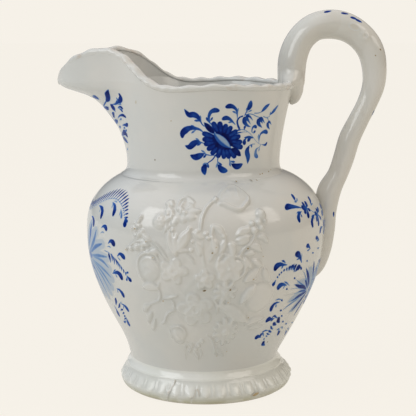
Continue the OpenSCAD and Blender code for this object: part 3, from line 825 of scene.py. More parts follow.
RELIEF = {
    "poppy": {
        "bump": [(15, 80.6, 7.2, 0.75, 3.9), (5.2, 80.5, 1.0, 1.3)],
        "ridge": [
            (0.6, 1.15, -2.1, 70.2, -1.9, 72.5, -1.3, 75, 0.4, 77.6, 2.6, 79.3, 5, 80.5),
            (0.7, 1.45, 6.8, 79.2, 9.6, 78.9, 12.2, 77.9, 15, 77.1, 17.8, 77.3, 19.6, 78.4, 21.9,
             79.5, 22.9, 81),
            (0.5, 0.85, 6.6, 79.8, 8.4, 82.2, 11.5, 83.9, 15, 84.5, 18.4, 84.1, 21.4, 82.6, 23, 80.6),
            (0.45, 1.05, 8.4, 80.2, 12, 80.8, 16, 79.7, 20, 80.6),
            (0.4, 0.95, 10, 82, 14, 82.6, 18.4, 82.2), (0.35, 1.0, 12, 83.8, 13.5, 81.8, 14.2, 79.6),
            (0.35, 1.0, 18, 83.8, 17.2, 81.6, 17.8, 79.6),
        ],
    },
    "lilac_spray": {
        "bump": [
            (-20.7, 72.9, 3.2, 0.75), (-22, 73.9, 0.75, 1.5), (-20.9, 74.5, 0.75, 1.55),
            (-19.7, 74, 0.75, 1.5), (-22.6, 72.9, 0.75, 1.4), (-21.4, 73.1, 0.8, 1.75),
            (-20.2, 72.9, 0.8, 1.75), (-19, 72.8, 0.75, 1.45), (-21.8, 72, 0.75, 1.4),
            (-20.6, 71.7, 0.75, 1.45), (-19.4, 71.8, 0.7, 1.35), (-19.3, 79, 0.75, 1.0),
            (-18.1, 79.5, 0.75, 1.1), (-16.9, 79.4, 0.75, 1.1), (-16.2, 78.6, 0.7, 1.1),
            (-18, 78, 0.8, 1.2), (-17, 77, 0.8, 1.2), (-15.9, 76.3, 0.85, 1.3),
            (-15.4, 75.2, 0.85, 1.3), (-16.1, 74.3, 0.8, 1.25), (-17.3, 73.8, 0.8, 1.2),
            (-17.7, 75.4, 0.85, 1.25), (-18.4, 76.6, 0.75, 1.0), (-12.1, 77.6, 0.75, 1.25),
            (-11.1, 77.2, 0.7, 1.25), (-11.6, 76.4, 0.7, 1.2), (-9.6, 76.1, 1.0, 1.35),
            (-13.2, 77.2, 0.7, 1.1), (-7, 74.8, 2.4, 0.8, 1.5), (-13, 74.2, 1.8, 0.85, 1.5),
            (-10.2, 74, 1.6, 0.75), (-14.4, 72.6, 1.4, 0.7),
        ],
        "ridge": [
            (0.35, 1.0, -17.2, 72.4, -17.8, 71, -18.4, 69.6),
            (0.35, 0.9, -16, 72, -17.2, 70.4, -18.8, 69),
            (0.45, 1.05, -13.7, 77, -13.4, 79, -12.3, 80.5, -10.7, 81, -8, 80.6, -5.4, 79.5),
            (0.5, 0.95, -10.5, 79.9, -11.6, 78.8, -12.3, 77.7),
            (0.5, 0.95, -9, 77.5, -7.4, 77.9, -5.4, 77.9), (0.3, 0.8, -8.6, 79.4, -7, 78.8, -5.6, 78.8),
        ],
        "leaf": [(1.0, 0.95, -8.8, 76.3, -5, 76.7, -1.8, 76.8)],
    },
    "berry_spray": {
        "bump": [
            (-31.3, 73.7, 0.95, 1.2), (-31.9, 72.2, 0.85, 1.1), (-32.4, 70.9, 0.8, 1.0),
            (-31, 70.8, 0.75, 1.0), (-34.9, 69.6, 0.8, 1.0), (-32.8, 69.4, 0.85, 1.0),
            (-29.4, 68.7, 1.05, 1.3), (-31, 67.8, 1.0, 1.1), (-28.1, 67.9, 0.8, 1.1),
            (-35.3, 62.2, 1.05, 1.1), (-32.1, 63, 1.5, 1.15), (-29, 62.5, 1.0, 0.9),
            (-34, 71.6, 0.6, 0.7), (-33.4, 66.9, 0.7, 0.7),
        ],
        "ridge": [
            (0.4, 0.95, -25.6, 66.4, -23.5, 65.7, -21.4, 64.2, -19.2, 62, -16.9, 59.2),
            (0.4, 0.9, -26.6, 65.3, -24.5, 64.7, -22.4, 63.2, -20.1, 60.8, -18.2, 58.8),
            (0.4, 0.9, -38.6, 61.8, -36.3, 62.9, -34, 64.4, -31, 65.3, -27, 65.4),
            (0.3, 0.8, -29.6, 67.4, -32, 66.2, -34.6, 65.2),
        ],
        "leaf": [
            (1.1, 1.3, -28.8, 67.7, -27, 66.8, -25, 65.9),
            (0.9, 1.15, -30.4, 63.8, -27.6, 64.4, -25.4, 63.8),
            (0.9, 1.4, -26, 61.2, -23.7, 62.2, -21.6, 61.3),
        ],
    },
    "curled_leaf": {
        "mound": [(-25, 54, 6.5, 0.34, 9)],
        "bump": [(-26.3, 55.4, 4.5, 0.6, 5.4)],
        "ridge": [
            (0.6, 1.0, -29.2, 50.2, -31, 52, -31.9, 54.4, -32, 57, -30.8, 59.5, -28, 61.1, -25,
             61.3, -22.6, 60.5, -21, 58),
            (0.5, 0.95, -29.9, 57.6, -28.4, 58.9, -25.6, 59.3, -23, 58.2, -21.2, 56),
            (0.4, 0.85, -29.6, 54.4, -27.6, 56.2, -24.6, 56.4, -22.6, 54.6),
            (0.4, 0.8, -28.6, 52.4, -26.6, 53.8, -24.2, 53.4),
        ],
    },
    "tulip_leaves": {
        "leaf": [
            (1.2, 1.15, -16.5, 69.9, -15.9, 66.6, -14.7, 63.6, -13, 60.8),
            (0.95, 1.1, -12.9, 68.8, -13.2, 65, -12.7, 61.4),
        ],
        "ridge": [
            (0.35, 1.35, -14.5, 69.2, -13.9, 66, -12.9, 62.4),
            (0.35, 1.25, -16.9, 68.4, -16.6, 66, -15.6, 63.6),
        ],
        "bump": [(-14.7, 70.2, 0.7, 1.1)],
    },
    "bud_leaves": {
        "bump": [
            (-7, 70.9, 0.65, 1.3), (-5.9, 66.2, 0.65, 1.1), (-6.2, 63, 0.7, 1.1), (0.2, 69, 0.75, 1.1),
            (1.1, 67.5, 0.7, 1.3), (8, 68.1, 0.85, 1.4), (2.9, 67.8, 0.7, 1.2), (-3.6, 69.9, 0.7, 0.9),
        ],
        "ridge": [
            (0.42, 1.6, -12, 65.8, -11, 67.2, -9.4, 68.5, -7.9, 69.7),
            (0.4, 1.35, 2.9, 71.9, 2.9, 70, 2.6, 68.2), (0.3, 0.75, -1, 66.4, -1.2, 62, -0.2, 57),
            (0.35, 1.15, 3.8, 72.1, 6, 71.2, 7.6, 69.2), (0.3, 0.7, -8.4, 61.6, -6, 60, -4.6, 57.6),
            (0.3, 0.8, 4.4, 64.4, 3.4, 61.6, 1.8, 59),
        ],
        "leaf": [
            (1.9, 1.25, -12, 63, -9.7, 66.4, -7.4, 70.2),
            (0.75, 1.0, -11.6, 62.3, -9.5, 63.1, -7.2, 62.8),
            (0.95, 0.85, -5.4, 69.5, -3, 68.1, -0.8, 67.4), (1.25, 1.0, 3.4, 71.8, 6, 70.6, 8, 68),
            (1.3, 0.9, 3, 67.6, 4, 65, 4.5, 61.8), (1.1, 0.85, 8.8, 67.4, 7.7, 64.6, 6.2, 61.8),
            (1.1, 0.75, -4.6, 66.4, -2.8, 64, -2.4, 61),
        ],
    },
    "berry_branch": {
        "bump": [
            (22.1, 69.6, 1.45, 1.35), (25.6, 70.3, 1.3, 1.15), (21.4, 72.1, 1.0, 1.3),
            (24.7, 72.3, 1.35, 1.25), (26.6, 75, 2.0, 1.3), (26.8, 75.3, 0.9, 1.65),
            (19.3, 70.5, 0.95, 1.05), (28, 72.6, 0.9, 0.9),
        ],
        "ridge": [
            (0.42, 1.25, 14.8, 60.6, 17.1, 63.4, 19.7, 65, 21.6, 66.7, 22.5, 68.8),
            (0.4, 1.35, 10.2, 65.3, 11.6, 65.3, 13.3, 64.5),
            (0.35, 1.3, 20.4, 64.6, 22.6, 64.9, 25, 63.9),
            (0.35, 1.25, 13.9, 68.2, 15.2, 69.9, 17.6, 70.6, 19.8, 70.2),
            (0.35, 1.25, 23.2, 67.3, 25.4, 67.8, 27, 67.2),
        ],
        "leaf": [
            (1.2, 1.1, 13.8, 68.3, 16.4, 69.3, 19.8, 69.6), (1.2, 1.1, 13.7, 66.4, 16.6, 67, 20, 67.9),
            (1.0, 0.95, 14.4, 65.2, 17, 65.6, 19.6, 66.5),
            (1.2, 0.95, 23, 67.3, 26.4, 66.9, 28.7, 64.6), (1.3, 1.05, 10.2, 65, 11.9, 63.4, 12, 60.6),
            (1.4, 0.95, 19.6, 64, 22.6, 63.6, 25.4, 61.6),
            (1.15, 0.95, 17.4, 61.2, 19.8, 61.5, 22.2, 61.2),
            (1.2, 1.0, 17.6, 60, 18.9, 58, 20.8, 55.8), (1.25, 1.0, 21, 58.8, 23.4, 57.7, 26, 56.1),
            (1.8, 0.95, 18, 51, 21, 53, 24.6, 55.6), (1.6, 0.85, 27.2, 55.4, 28.3, 52.6, 30.8, 49.8),
        ],
    },
    "small_rose": {
        "mound": [(-14, 56, 8, 0.45, 8.5)],
        "rose": [(-14.5, 55, 5.6, 1.05, 12)],
    },
    "five_petal": {
        "flower": [(-0.4, 52, 4.3, 1.1, 5, 20, 1.55, 0.55), (-0.4, 52, 1.7, 1.35, 5, 55, 0.7, 0.3)],
        "bump": [(-0.4, 52, 0.9, 1.5)],
    },
    "pansy": {
        "mound": [(9, 57, 10, 0.42, 10)],
        "flower": [(10.6, 56, 5.9, 1.15, 5, 90, 2.5, 0.5)],
        "ridge": [
            (0.42, 1.45, 7.6, 61.9, 10, 61.3, 12.2, 60.7, 14.4, 60.5, 16.6, 59, 17.9, 56.6, 17.4,
             54, 15, 52.2, 12.2, 51), (0.35, 1.2, 7.6, 61.8, 5.6, 59.6, 5.2, 56.8, 6.2, 54),
            (0.35, 1.1, 9.6, 58.4, 10.6, 56.4, 12.6, 55.2), (0.3, 1.05, 13.6, 58, 12.4, 56.4, 11, 55.4),
        ],
        "bump": [(10.6, 56, 0.9, 1.35)],
    },
    "aster": {
        "flower": [(9, 46.9, 4.9, 1.0, 9, 12, 0.95, 0.2)],
        "bump": [(9, 46.9, 1.2, 1.35), (8.2, 47.6, 0.5, 1.6), (9.8, 47.3, 0.5, 1.6), (9, 46, 0.5, 1.6)],
    },
    "fruit": {
        "bump": [(26.7, 43.9, 6.2, 1.15, 6.3)],
        "leaf": [
            (1.8, 1.55, 17.4, 42.4, 19.8, 45.6, 23, 48.8), (1.2, 0.95, 17.8, 50.6, 21, 51.6, 24, 51.4),
        ],
        "ridge": [(0.35, 1.65, 18.2, 43, 19.8, 45.6, 22.4, 48)],
    },
    "big_rose": {
        "mound": [(-6, 42, 13.5, 0.42, 13)],
        "rose": [(-5, 39.8, 7.8, 1.15, 40)],
        "ridge": [
            (0.4, 0.95, -16.6, 43.4, -15.6, 41.6, -15.9, 40),
            (0.45, 1.0, -20.6, 43.9, -17, 44.6, -13.4, 45.5), (0.4, 0.95, 3, 45, 5.4, 42, 5.6, 38),
        ],
    },
    "rose_leaf": {
        "mound": [(17, 37, 12, 0.34, 9)],
        "leaf": [
            (2.7, 0.9, 5.8, 42, 11.6, 39.8, 17.6, 36.4, 22.4, 34),
            (1.6, 0.85, 22, 32.4, 27, 34.4, 32.4, 34.6), (1.4, 0.75, 24, 30.6, 29, 31.4, 34, 31),
        ],
        "ridge": [
            (0.3, 1.1, 6, 42, 12, 39.6, 18, 36.4, 22.6, 34), (0.25, 0.95, 11, 40, 13.6, 40.4, 16, 39.6),
            (0.25, 0.95, 14.4, 38.4, 17.2, 38.4, 19.4, 37.2),
            (0.25, 0.95, 9, 40.8, 9.6, 38.6, 11.4, 36.8), (0.25, 0.95, 13, 39, 13.6, 36.8, 15.4, 35),
        ],
    },
    "leaf_spray": {
        "ridge": [
            (0.4, 0.9, -29.4, 40.4, -25.6, 41.9, -23.1, 43, -21.9, 45.5, -22.4, 48.3, -21.6, 50.2),
            (0.3, 0.8, -29, 40.3, -31.4, 38, -33, 34, -31.4, 29),
        ],
        "leaf": [
            (1.9, 0.85, -30.4, 47.8, -26.6, 48.4, -22.6, 48),
            (1.2, 0.75, -33.6, 37.2, -31.4, 39.5, -28.6, 40.3),
            (1.3, 0.75, -33, 32.8, -31, 35.6, -28.6, 37.6),
            (1.1, 0.7, -32, 29.4, -29.6, 32.2, -27.8, 34.8),
        ],
    },
    "bellflower": {
        "mound": [(-14, 30, 8, 0.3, 7)],
        "bump": [(-15.8, 28.8, 3.6, 0.85, 3.1)],
        "ridge": [
            (0.5, 0.95, -20.6, 30.4, -20.2, 27.6, -18.3, 25.8, -15.6, 25.1, -13, 26),
            (0.5, 0.95, -19.8, 31.3, -16.6, 32.4, -13.4, 32.3, -11.6, 30.6, -11.4, 28.6),
            (0.45, 0.95, -24.6, 32.8, -22.7, 33.7, -21, 36.2, -19.2, 38, -15.6, 39.3),
            (0.35, 1.15, -18.4, 30, -16, 28.6, -15.4, 26.4),
            (0.35, 1.1, -14, 30.6, -14.6, 28.6, -13.6, 26.6),
        ],
    },
    "daisy": {
        "flower": [(11, 30.2, 6.2, 1.05, 11, 0, 1.1, 0.25)],
        "bump": [
            (11, 30.2, 2.0, 1.35), (10.2, 30.8, 0.6, 1.65), (11.8, 30.8, 0.6, 1.65),
            (11, 29.6, 0.6, 1.65), (11, 31.4, 0.5, 1.6),
        ],
    },
    "base_spray": {
        "bump": [
            (-6.5, 22.6, 1.3, 0.85), (-4.4, 24.3, 1.1, 0.85), (-2.2, 26, 1.1, 0.85),
            (-8.8, 24.2, 1.1, 0.75), (-10.6, 21.8, 0.9, 0.7), (-12.6, 23.4, 0.8, 0.6),
        ],
        "ridge": [
            (0.5, 0.85, 0.6, 28.8, 3.4, 27.2, 5.4, 24, 6, 20.2),
            (0.35, 0.7, -12, 25.8, -9.2, 23, -10.8, 20), (0.35, 0.7, -3.6, 22.6, -2.4, 20.6, -3, 18.8),
        ],
        "leaf": [
            (0.9, 0.65, -8, 21.4, -5.6, 19.6, -4.6, 17.6), (1.0, 0.6, 6.8, 22.6, 10, 21.2, 12.4, 18.8),
        ],
    },
}
RELIEF_MM = 0.8  # millimetres to a degree of turn, over the bouquet
SWEEP_POINTS = 36
LOWEST_RELIEF = 0.012  # clay lower than this is left out of the mesh


class Grid:
    """A grid of (turn, z) over a surface, on which a degree is scale millimetres wide."""

    def __init__(self, low, high, scale, step):
        self.turn = np.arange(low[0], high[0], step / scale)
        self.z = np.arange(low[1], high[1], step)
        self.scale = scale

    def window(self, line, reach):
        """The part of the grid within reach of a line, as two slices."""
        low, high = line.min(axis=0), line.max(axis=0)
        side = reach / self.scale
        rows = slice(*np.searchsorted(self.z, [low[1] - reach, high[1] + reach]))
        columns = slice(*np.searchsorted(self.turn, [low[0] - side, high[0] + side]))
        return rows, columns

    def gaps(self, window, line):
        """Distance of every grid point in a window from every point of a line."""
        turn, z = self.turn[window[1]][None, :, None], self.z[window[0]][:, None, None]
        return np.hypot((turn - line[:, 0]) * self.scale, z - line[:, 1])


class Relief(Grid):
    """Height of the raised clay on a grid, and the number of the sprig that made it."""

    def __init__(self, low, high):
        super().__init__(low, high, RELIEF_MM, 0.25)
        self.height = np.zeros((len(self.z), len(self.turn)))
        self.ground = np.zeros(self.height.shape)
        self.owner = np.full(self.height.shape, -1)

    def raise_to(self, window, height, owner):
        """Gives the window to the owner wherever its height is the greater."""
        here = self.height[window]
        taller = height > here
        self.owner[window] = np.where(taller, owner, self.owner[window])
        self.height[window] = np.where(taller, height, here)

    def around(self, turn, z, radius, radius_z):
        """Window round a place, the grid's turn and z in it, and the offsets by radius."""
        w = self.window(np.array([[turn, z]]), max(radius, radius_z))
        t, y = self.turn[w[1]][None], self.z[w[0]][:, None]
        return w, t, y, (t - turn) * self.scale / radius, (y - z) / radius_z

    def bump(self, owner, turn, z, radius, height, radius_z=None):
        """A berry, a bud or a swelling."""
        w, _, _, across, up = self.around(turn, z, radius, radius_z or radius)
        dome = np.clip(1 - across**2 - up**2, 0, 1) ** 0.6
        self.raise_to(w, height * dome, owner)

    def mound(self, owner, turn, z, radius, height, radius_z):
        """Low leafy ground between the flowers."""
        w, t, y, across, up = self.around(turn, z, radius, radius_z)
        veins = np.sin(t * 0.95 + 1.6 * np.sin(y * 0.55)) * np.sin(y * 0.9 + 1.3 * np.sin(t * 0.42))
        here = height * np.clip(1 - (across**2 + up**2), 0, 1) ** 0.8 * (0.62 + 0.38 * veins)
        bare = (here > self.ground[w]) & (self.height[w] == 0)
        self.owner[w] = np.where(bare, owner, self.owner[w])
        self.ground[w] = np.maximum(self.ground[w], here)

    def sweep(self, owner, half, height, points, width, profile):
        """A strip along a line, with its width by the share of the way along, and its
        profile by the share of the half width and the share of the way."""
        line = through(np.asarray(points, float).reshape(-1, 2), SWEEP_POINTS)
        t = np.linspace(0, 1, SWEEP_POINTS)
        w = self.window(line, half)
        share = self.gaps(w, line) / (half * width(t))
        best = np.argmin(share, axis=2)
        q = np.clip(np.take_along_axis(share, best[..., None], 2)[..., 0], 0, 1)
        self.raise_to(w, height * profile(q, t[best]), owner)

    def ridge(self, owner, half, height, *points):
        """A stem, a vein or the edge of a leaf."""

        def width(t):
            return 0.55 + 0.45 * np.sin(np.pi * t) ** 0.5

        def profile(q, t):
            return (1 - q**2) ** 0.7 * (0.75 + 0.25 * np.sin(np.pi * t))

        self.sweep(owner, half, height, points, width, profile)

    def leaf(self, owner, half, height, *points):
        """A leaf with a sunken midrib."""

        def width(t):
            return np.sin(np.pi * np.clip(t, 0.04, 0.96)) ** 0.7

        def profile(q, t):
            return (1 - q**2) ** 0.55 * (0.78 + 0.22 * np.clip(q / 0.35, 0, 1))

        self.sweep(owner, half, height, points, width, profile)

    def petal(self, owner, half, height, points, cup):
        """A petal whose middle lies lower than its edge by the share cup."""

        def width(t):
            return 0.3 + 0.7 * np.sin(np.pi * np.clip(t * 0.8, 0, 1)) ** 0.8

        def profile(q, t):
            return (1 - q**6) * (1 - cup + cup * q**2) * (0.7 + 0.3 * t)

        self.sweep(owner, half, height, points, width, profile)

    def flower(self, owner, turn, z, radius, height, petals, spin, half, cup):
        """Petals in one ring, each a little different in length and height."""
        for k in range(petals):
            b = math.radians(360 * k / petals + spin)
            reach = (radius - half) * (1 + 0.06 * math.sin(5.1 * k + turn))
            way = np.array([math.cos(b) / self.scale, math.sin(b)])
            line = [(turn, z) + way * reach * s for s in (0.1, 0.55, 1.0)]
            lift = height * (1 + 0.08 * math.sin(3.3 * k))
            self.petal(owner, half, lift, np.ravel(line), cup)

    def rose(self, owner, turn, z, radius, height, spin):
        """Cupped petals in two rings about a rolled heart."""
        rings = ((5, 0.25, 0.72, 0.36, 0.82, 0.5), (4, 0.1, 0.42, 0.27, 0.98, 0.4))
        for count, near, far, half, lift, cup in rings:
            for k in range(count):
                b = math.radians(360 * k / count + spin + 41 * count)
                way = np.array([math.cos(b) / self.scale, math.sin(b) * 0.92]) * radius
                line = [(turn, z) + way * s for s in (near, (near + far) / 2, far)]
                self.petal(owner, radius * half, height * lift, np.ravel(line), cup)
        for reach, turns in ((0.3, 1.15), (0.16, 0.9)):
            arc = np.radians(spin * 3) + np.linspace(0, 2 * np.pi * turns, 9)
            across = turn + np.cos(arc) * radius * reach / self.scale
            line = np.stack([across, z + np.sin(arc) * radius * reach], -1)
            self.ridge(owner, 0.5, height * 1.12, *line.ravel())

    def soften(self, times):
        """Adds the leafy ground and blurs the heights, as slip and glaze fill them."""
        h = self.height + 0.8 * self.ground
        for _ in range(times):
            h = np.pad(h, 1, mode="edge")
            h = (h[:-2] + 2 * h[1:-1] + h[2:]) / 4
            h = (h[:, :-2] + 2 * h[:, 1:-1] + h[:, 2:]) / 4
        self.height = h


def on_relief(a, z):
    """1 over the near bouquet and 0 off it, with a soft edge."""
    middle, half = (-93, 52), (36, 34)
    shares = [np.abs((v - m) / h) for v, m, h in zip((a, z), middle, half)]
    return ease(-shares[0], -1.05, -0.9) * ease(-shares[1], -1.05, -0.9)


def make_relief(material):
    """The bouquet on the near side, and the same one turned to the far side."""
    field = Relief((-42, 15), (39, 86))
    names = list(RELIEF)
    for owner, name in enumerate(names):
        for kind, shapes in RELIEF[name].items():
            for shape in shapes:
                getattr(field, kind)(owner, *shape)
    # The clay that softening spreads belongs to the nearest sprig.
    owners = field.owner.copy()
    field.soften(3)
    for _ in range(4):
        pad = np.pad(owners, 1, constant_values=-1)
        near = np.maximum.reduce([pad[:-2, 1:-1], pad[2:, 1:-1], pad[1:-1, :-2], pad[1:-1, 2:]])
        owners = np.where(owners < 0, near, owners)
    height = field.height * (1.05 - 0.12 * ease(-field.z, -60, -30))[:, None]
    turn, z = np.meshgrid(field.turn, field.z)
    points = belly_point(turn - 90, z, height - 0.03)
    normals = unit(np.cross(np.gradient(points, axis=1), np.gradient(points, axis=0)))
    faces = grid_faces(*height.shape)
    corners = height.ravel()[faces]
    raised = (corners > LOWEST_RELIEF).any(axis=1)
    of_face = owners.ravel()[faces[np.arange(len(faces)), np.argmax(corners, axis=1)]]
    # Low clay at the feet of the raised shapes gets a grey tone: glaze pooled there, and painted shade.
    pooled_glaze_and_shade = np.clip(0.9 - height / 0.9, 0, 1) * ease(height, 0.05, 0.35)
    points, normals = points.reshape(-1, 3), normals.reshape(-1, 3)
    for owner, name in enumerate(names):
        used, chosen = np.unique(faces[raised & (of_face == owner)], return_inverse=True)
        chosen = chosen.reshape(-1, 4)
        for side, sign in (("near", 1.0), ("far", -1.0)):
            turned = np.array([sign, sign, 1.0])
            make(f"raised_{name}_{side}", points[used] * turned, chosen, material,
                 [f"{side}_{name}"], pooled_glaze_and_shade.ravel()[used],
                 normals[used] * turned)


# ---- painted flowers ---------------------------------------------------------

# A stroke is (half width in mm, tone, turn, z, turn, z, ...). A comma starts at its round
# head and thins to a hair, a dab is a short one, a leaf is pointed at both ends, and a line
# thins a little. Barbs are small dabs in a row, a wash is thin paint and rays lie on it.

# Tips of the petals of the flower on the neck, at (turn, z), and its middle.
NECK_MIDDLE = (13.4, 101.0)
NECK_PETALS = [
    (7.2, 107.4), (11.3, 107.4), (15.3, 106.5), (18.7, 105.7), (22.5, 104.3), (25, 102.4),
    (26.6, 100.3), (27.4, 98.4), (22.6, 95.1), (18.4, 95.1), (14.9, 95.1), (10.8, 95.5),
    (6.8, 96.6), (4.2, 98.2), (2.3, 100), (1.2, 101.7), (1.1, 103.8),
]
NECK_LEAVES = [
    (1.05, 0.95, -12, 112.8, -9.2, 110.9, -6, 110.9, -3.2, 109.9, -1.5, 108.3),
    (1.15, 0.95, -12.3, 99.2, -9.3, 98.8, -6.9, 99.9, -4.2, 100.7, -2, 100.7),
    (1.2, 0.95, -8.8, 95.7, -5.5, 95, -2.4, 95.5, 0.6, 96.3),
    (1.1, 0.95, 2.1, 92.2, 0.6, 90.6, 1.3, 88.4), (1.15, 0.85, 10.6, 92, 13.2, 90.3, 17.5, 89.6),
    (1.1, 1.0, 20.8, 92.1, 25, 91.1, 29.4, 91.9), (0.95, 0.85, 30.6, 112.3, 31.8, 114, 32, 115.8),
    (0.75, 0.7, 41.8, 111.3, 45, 112.9, 48.4, 114.2), (0.7, 0.6, 51, 110, 54.5, 111.4, 58.5, 113.4),
    (0.5, 0.85, 29.6, 101.9, 33, 102, 37.5, 101.6),
    (1.05, 0.8, 34.3, 98.7, 32.8, 96.6, 34, 94.4, 33.8, 92),
]
# Leaves that are laid over the petals.
NECK_SEPALS = [
    (1.0, 1.0, 0.9, 107.9, 4, 106, 7.8, 103.8), (1.1, 1.0, 20.5, 98, 24, 96.8, 27.6, 95.1),
]
NECK_COMMAS = [
    (0.9, 0.85, 10.4, 112.3, 7.5, 112.5, 4.8, 111.6, 3.8, 109.8, 4.3, 108.2, 6.5, 106.8),
    (1.2, 0.95, -14.3, 102.2, -14.2, 103.5, -12, 105, -8.6, 105.9, -5, 105.8, -2, 105.3, 0.5, 104.2),
    (0.9, 0.95, 15, 113.7, 17.6, 114, 20.6, 113.4, 22.4, 112.3, 23.1, 110.4, 23.4, 109.2),
    (0.85, 0.9, 13, 109.2, 15.5, 109.6, 18, 109.1, 20.3, 108, 22.1, 107),
    (0.85, 0.9, 28.2, 109.6, 28.8, 108, 31, 106.6, 33.9, 105.9),
    (0.65, 0.8, 29, 109.7, 31.4, 108.5, 33.8, 106.9), (0.5, 0.9, 29.8, 110.2, 32.5, 109.8, 35.4, 108.3),
    (0.85, 0.95, 39.6, 108.6, 40.5, 107.2, 44.3, 105.3),
    (0.7, 0.9, 40.8, 109, 42.4, 108.1, 44.5, 106.9), (0.55, 0.85, 41.8, 109.2, 44, 108.3, 46.5, 106.9),
    (0.7, 0.85, 49.3, 106.9, 50.2, 105.8, 53, 104.3), (0.5, 0.8, 50, 107.4, 52, 107, 54.2, 106),
    (0.6, 0.8, 39.2, 105.4, 37.6, 106, 35.7, 105.3, 35.6, 104.1, 36.6, 103.5),
    (0.45, 0.8, 38.2, 104.2, 37.6, 103.7, 36.8, 103.4),
    (0.8, 0.75, 50.9, 103, 48.4, 103.6, 45.8, 103.5, 43.5, 102.6, 43, 101, 43, 99.5),
    (0.75, 1.0, 30.3, 99.4, 30, 100.6, 31.6, 101.8), (0.65, 0.95, 33, 100.6, 34, 101.2, 36, 101.9),
    (0.85, 0.5, 42.8, 94, 40.7, 95.2, 40.9, 96.8, 43.5, 97.8),
    (0.5, 0.9, 51.8, 99.3, 50.6, 98.6, 48.5, 98.5, 46.5, 98.8),
    (0.45, 0.95, 29.5, 106.2, 29.2, 105.2, 29.1, 104.7),
]
NECK_DABS = [
    (0.42, 0.75, -5.6, 108.7, -3.5, 108.7, -1.3, 108.4),
    (0.32, 0.45, -1.7, 110.6, -1.6, 109.5, -1, 108.3), (0.42, 0.8, 2.2, 109.9, 3, 109, 4.2, 108),
    (0.35, 0.75, 6.4, 109.9, 5.6, 109.2, 4.6, 108.4), (0.38, 0.5, -8, 107, -6.4, 106.5, -4.8, 105.8),
    (0.38, 0.5, -7.8, 104, -6.2, 104.7, -4.4, 105.4), (0.36, 0.5, -5, 102.1, -3.4, 101.5, -1.8, 100.6),
    (0.42, 0.8, -3.9, 99.4, -2.4, 100, -0.8, 100.5), (0.36, 0.45, -1.3, 97.6, 0.4, 97, 2.4, 96),
    (0.42, 0.8, 0.4, 94.8, 1.3, 95.4, 2.6, 96), (0.42, 0.9, 3.8, 91, 3.4, 92, 3.4, 92.8),
    (0.36, 0.45, -0.2, 92.2, 1.3, 92.6, 3, 92.8), (0.42, 0.75, 13.4, 91.9, 12, 92.4, 10.6, 93.2),
    (0.34, 0.4, 9.3, 91, 9.8, 92, 10.4, 93.2), (0.42, 0.7, 23.2, 92.9, 21.4, 93, 19.5, 93.4),
    (0.36, 0.5, 19.9, 91.3, 19.4, 92.2, 19.1, 93.4), (0.36, 0.5, 19.6, 112, 21.3, 111.6, 23, 110.8),
    (0.3, 0.35, 23.5, 113.2, 23.3, 112.2, 23.1, 111), (0.36, 0.5, 17.2, 107.9, 18.8, 108, 20.5, 108),
    (0.36, 0.55, 29.6, 113.2, 29.7, 112.3, 30.3, 111.4),
    (0.34, 0.45, 33.6, 112.2, 32.2, 111.9, 30.7, 111.5),
    (0.42, 0.35, 41.9, 102.8, 42, 101.8, 42.7, 100.4), (0.4, 0.6, 36.7, 98, 36.3, 98.8, 34.8, 98.8),
    (0.34, 0.35, 43.7, 96.3, 43.9, 97, 44, 97.9), (0.34, 0.5, 50.8, 111, 50.9, 110.3, 50.6, 109.4),
]
NECK_LINES = [
    (0.2, 0.75, -1.5, 108.3, -0.6, 107.4, 0.8, 106.6), (0.2, 0.6, -2, 100.7, 0.5, 100.2, 2.6, 99.8),
    (0.2, 0.6, 0.6, 96.3, 3.5, 95.8, 8.6, 95.6), (0.24, 0.8, 9, 95.8, 6.9, 94.2, 4.2, 93.1, 2, 92.3),
    (0.22, 0.5, 10.7, 95.2, 10.3, 93.4, 10.7, 91.9), (0.2, 0.45, 18.9, 95, 19.2, 93.4, 20.9, 92.1),
    (0.36, 0.85, 25.2, 105.5, 24, 106.8, 23.4, 108.3, 24.4, 109.4, 27, 110.1),
    (0.18, 0.5, 28.5, 110.4, 31.7, 110.8, 35, 110.5, 37.8, 109.8, 40.5, 109.3),
    (0.18, 0.45, 36.2, 111, 39.6, 111, 42, 111.4), (0.17, 0.4, 44.4, 109.5, 47, 109, 50.5, 109.3),
    (0.17, 0.4, 48, 108.9, 49.4, 108.3, 50.2, 107.6), (0.2, 0.6, 29, 110.8, 29.5, 111.6, 30.7, 112.4),
    (0.3, 0.8, 22.4, 104.3, 24.3, 104.8, 26.4, 105),
    (0.16, 0.35, 26.4, 105, 29, 104.9, 31.8, 104.2, 35.4, 102.8, 38, 101.4, 40.4, 100.2, 43.2,
     99.2, 46.6, 98.7), (0.3, 0.75, 23.2, 103.5, 25.2, 103.9, 27, 104),
    (0.15, 0.35, 27, 104, 29, 104.1, 31.5, 104), (0.15, 0.4, 34.8, 98.8, 37, 99.2, 39.4, 99.2),
    (0.15, 0.4, 44, 97.9, 44.6, 98.2, 45, 98.7),
]

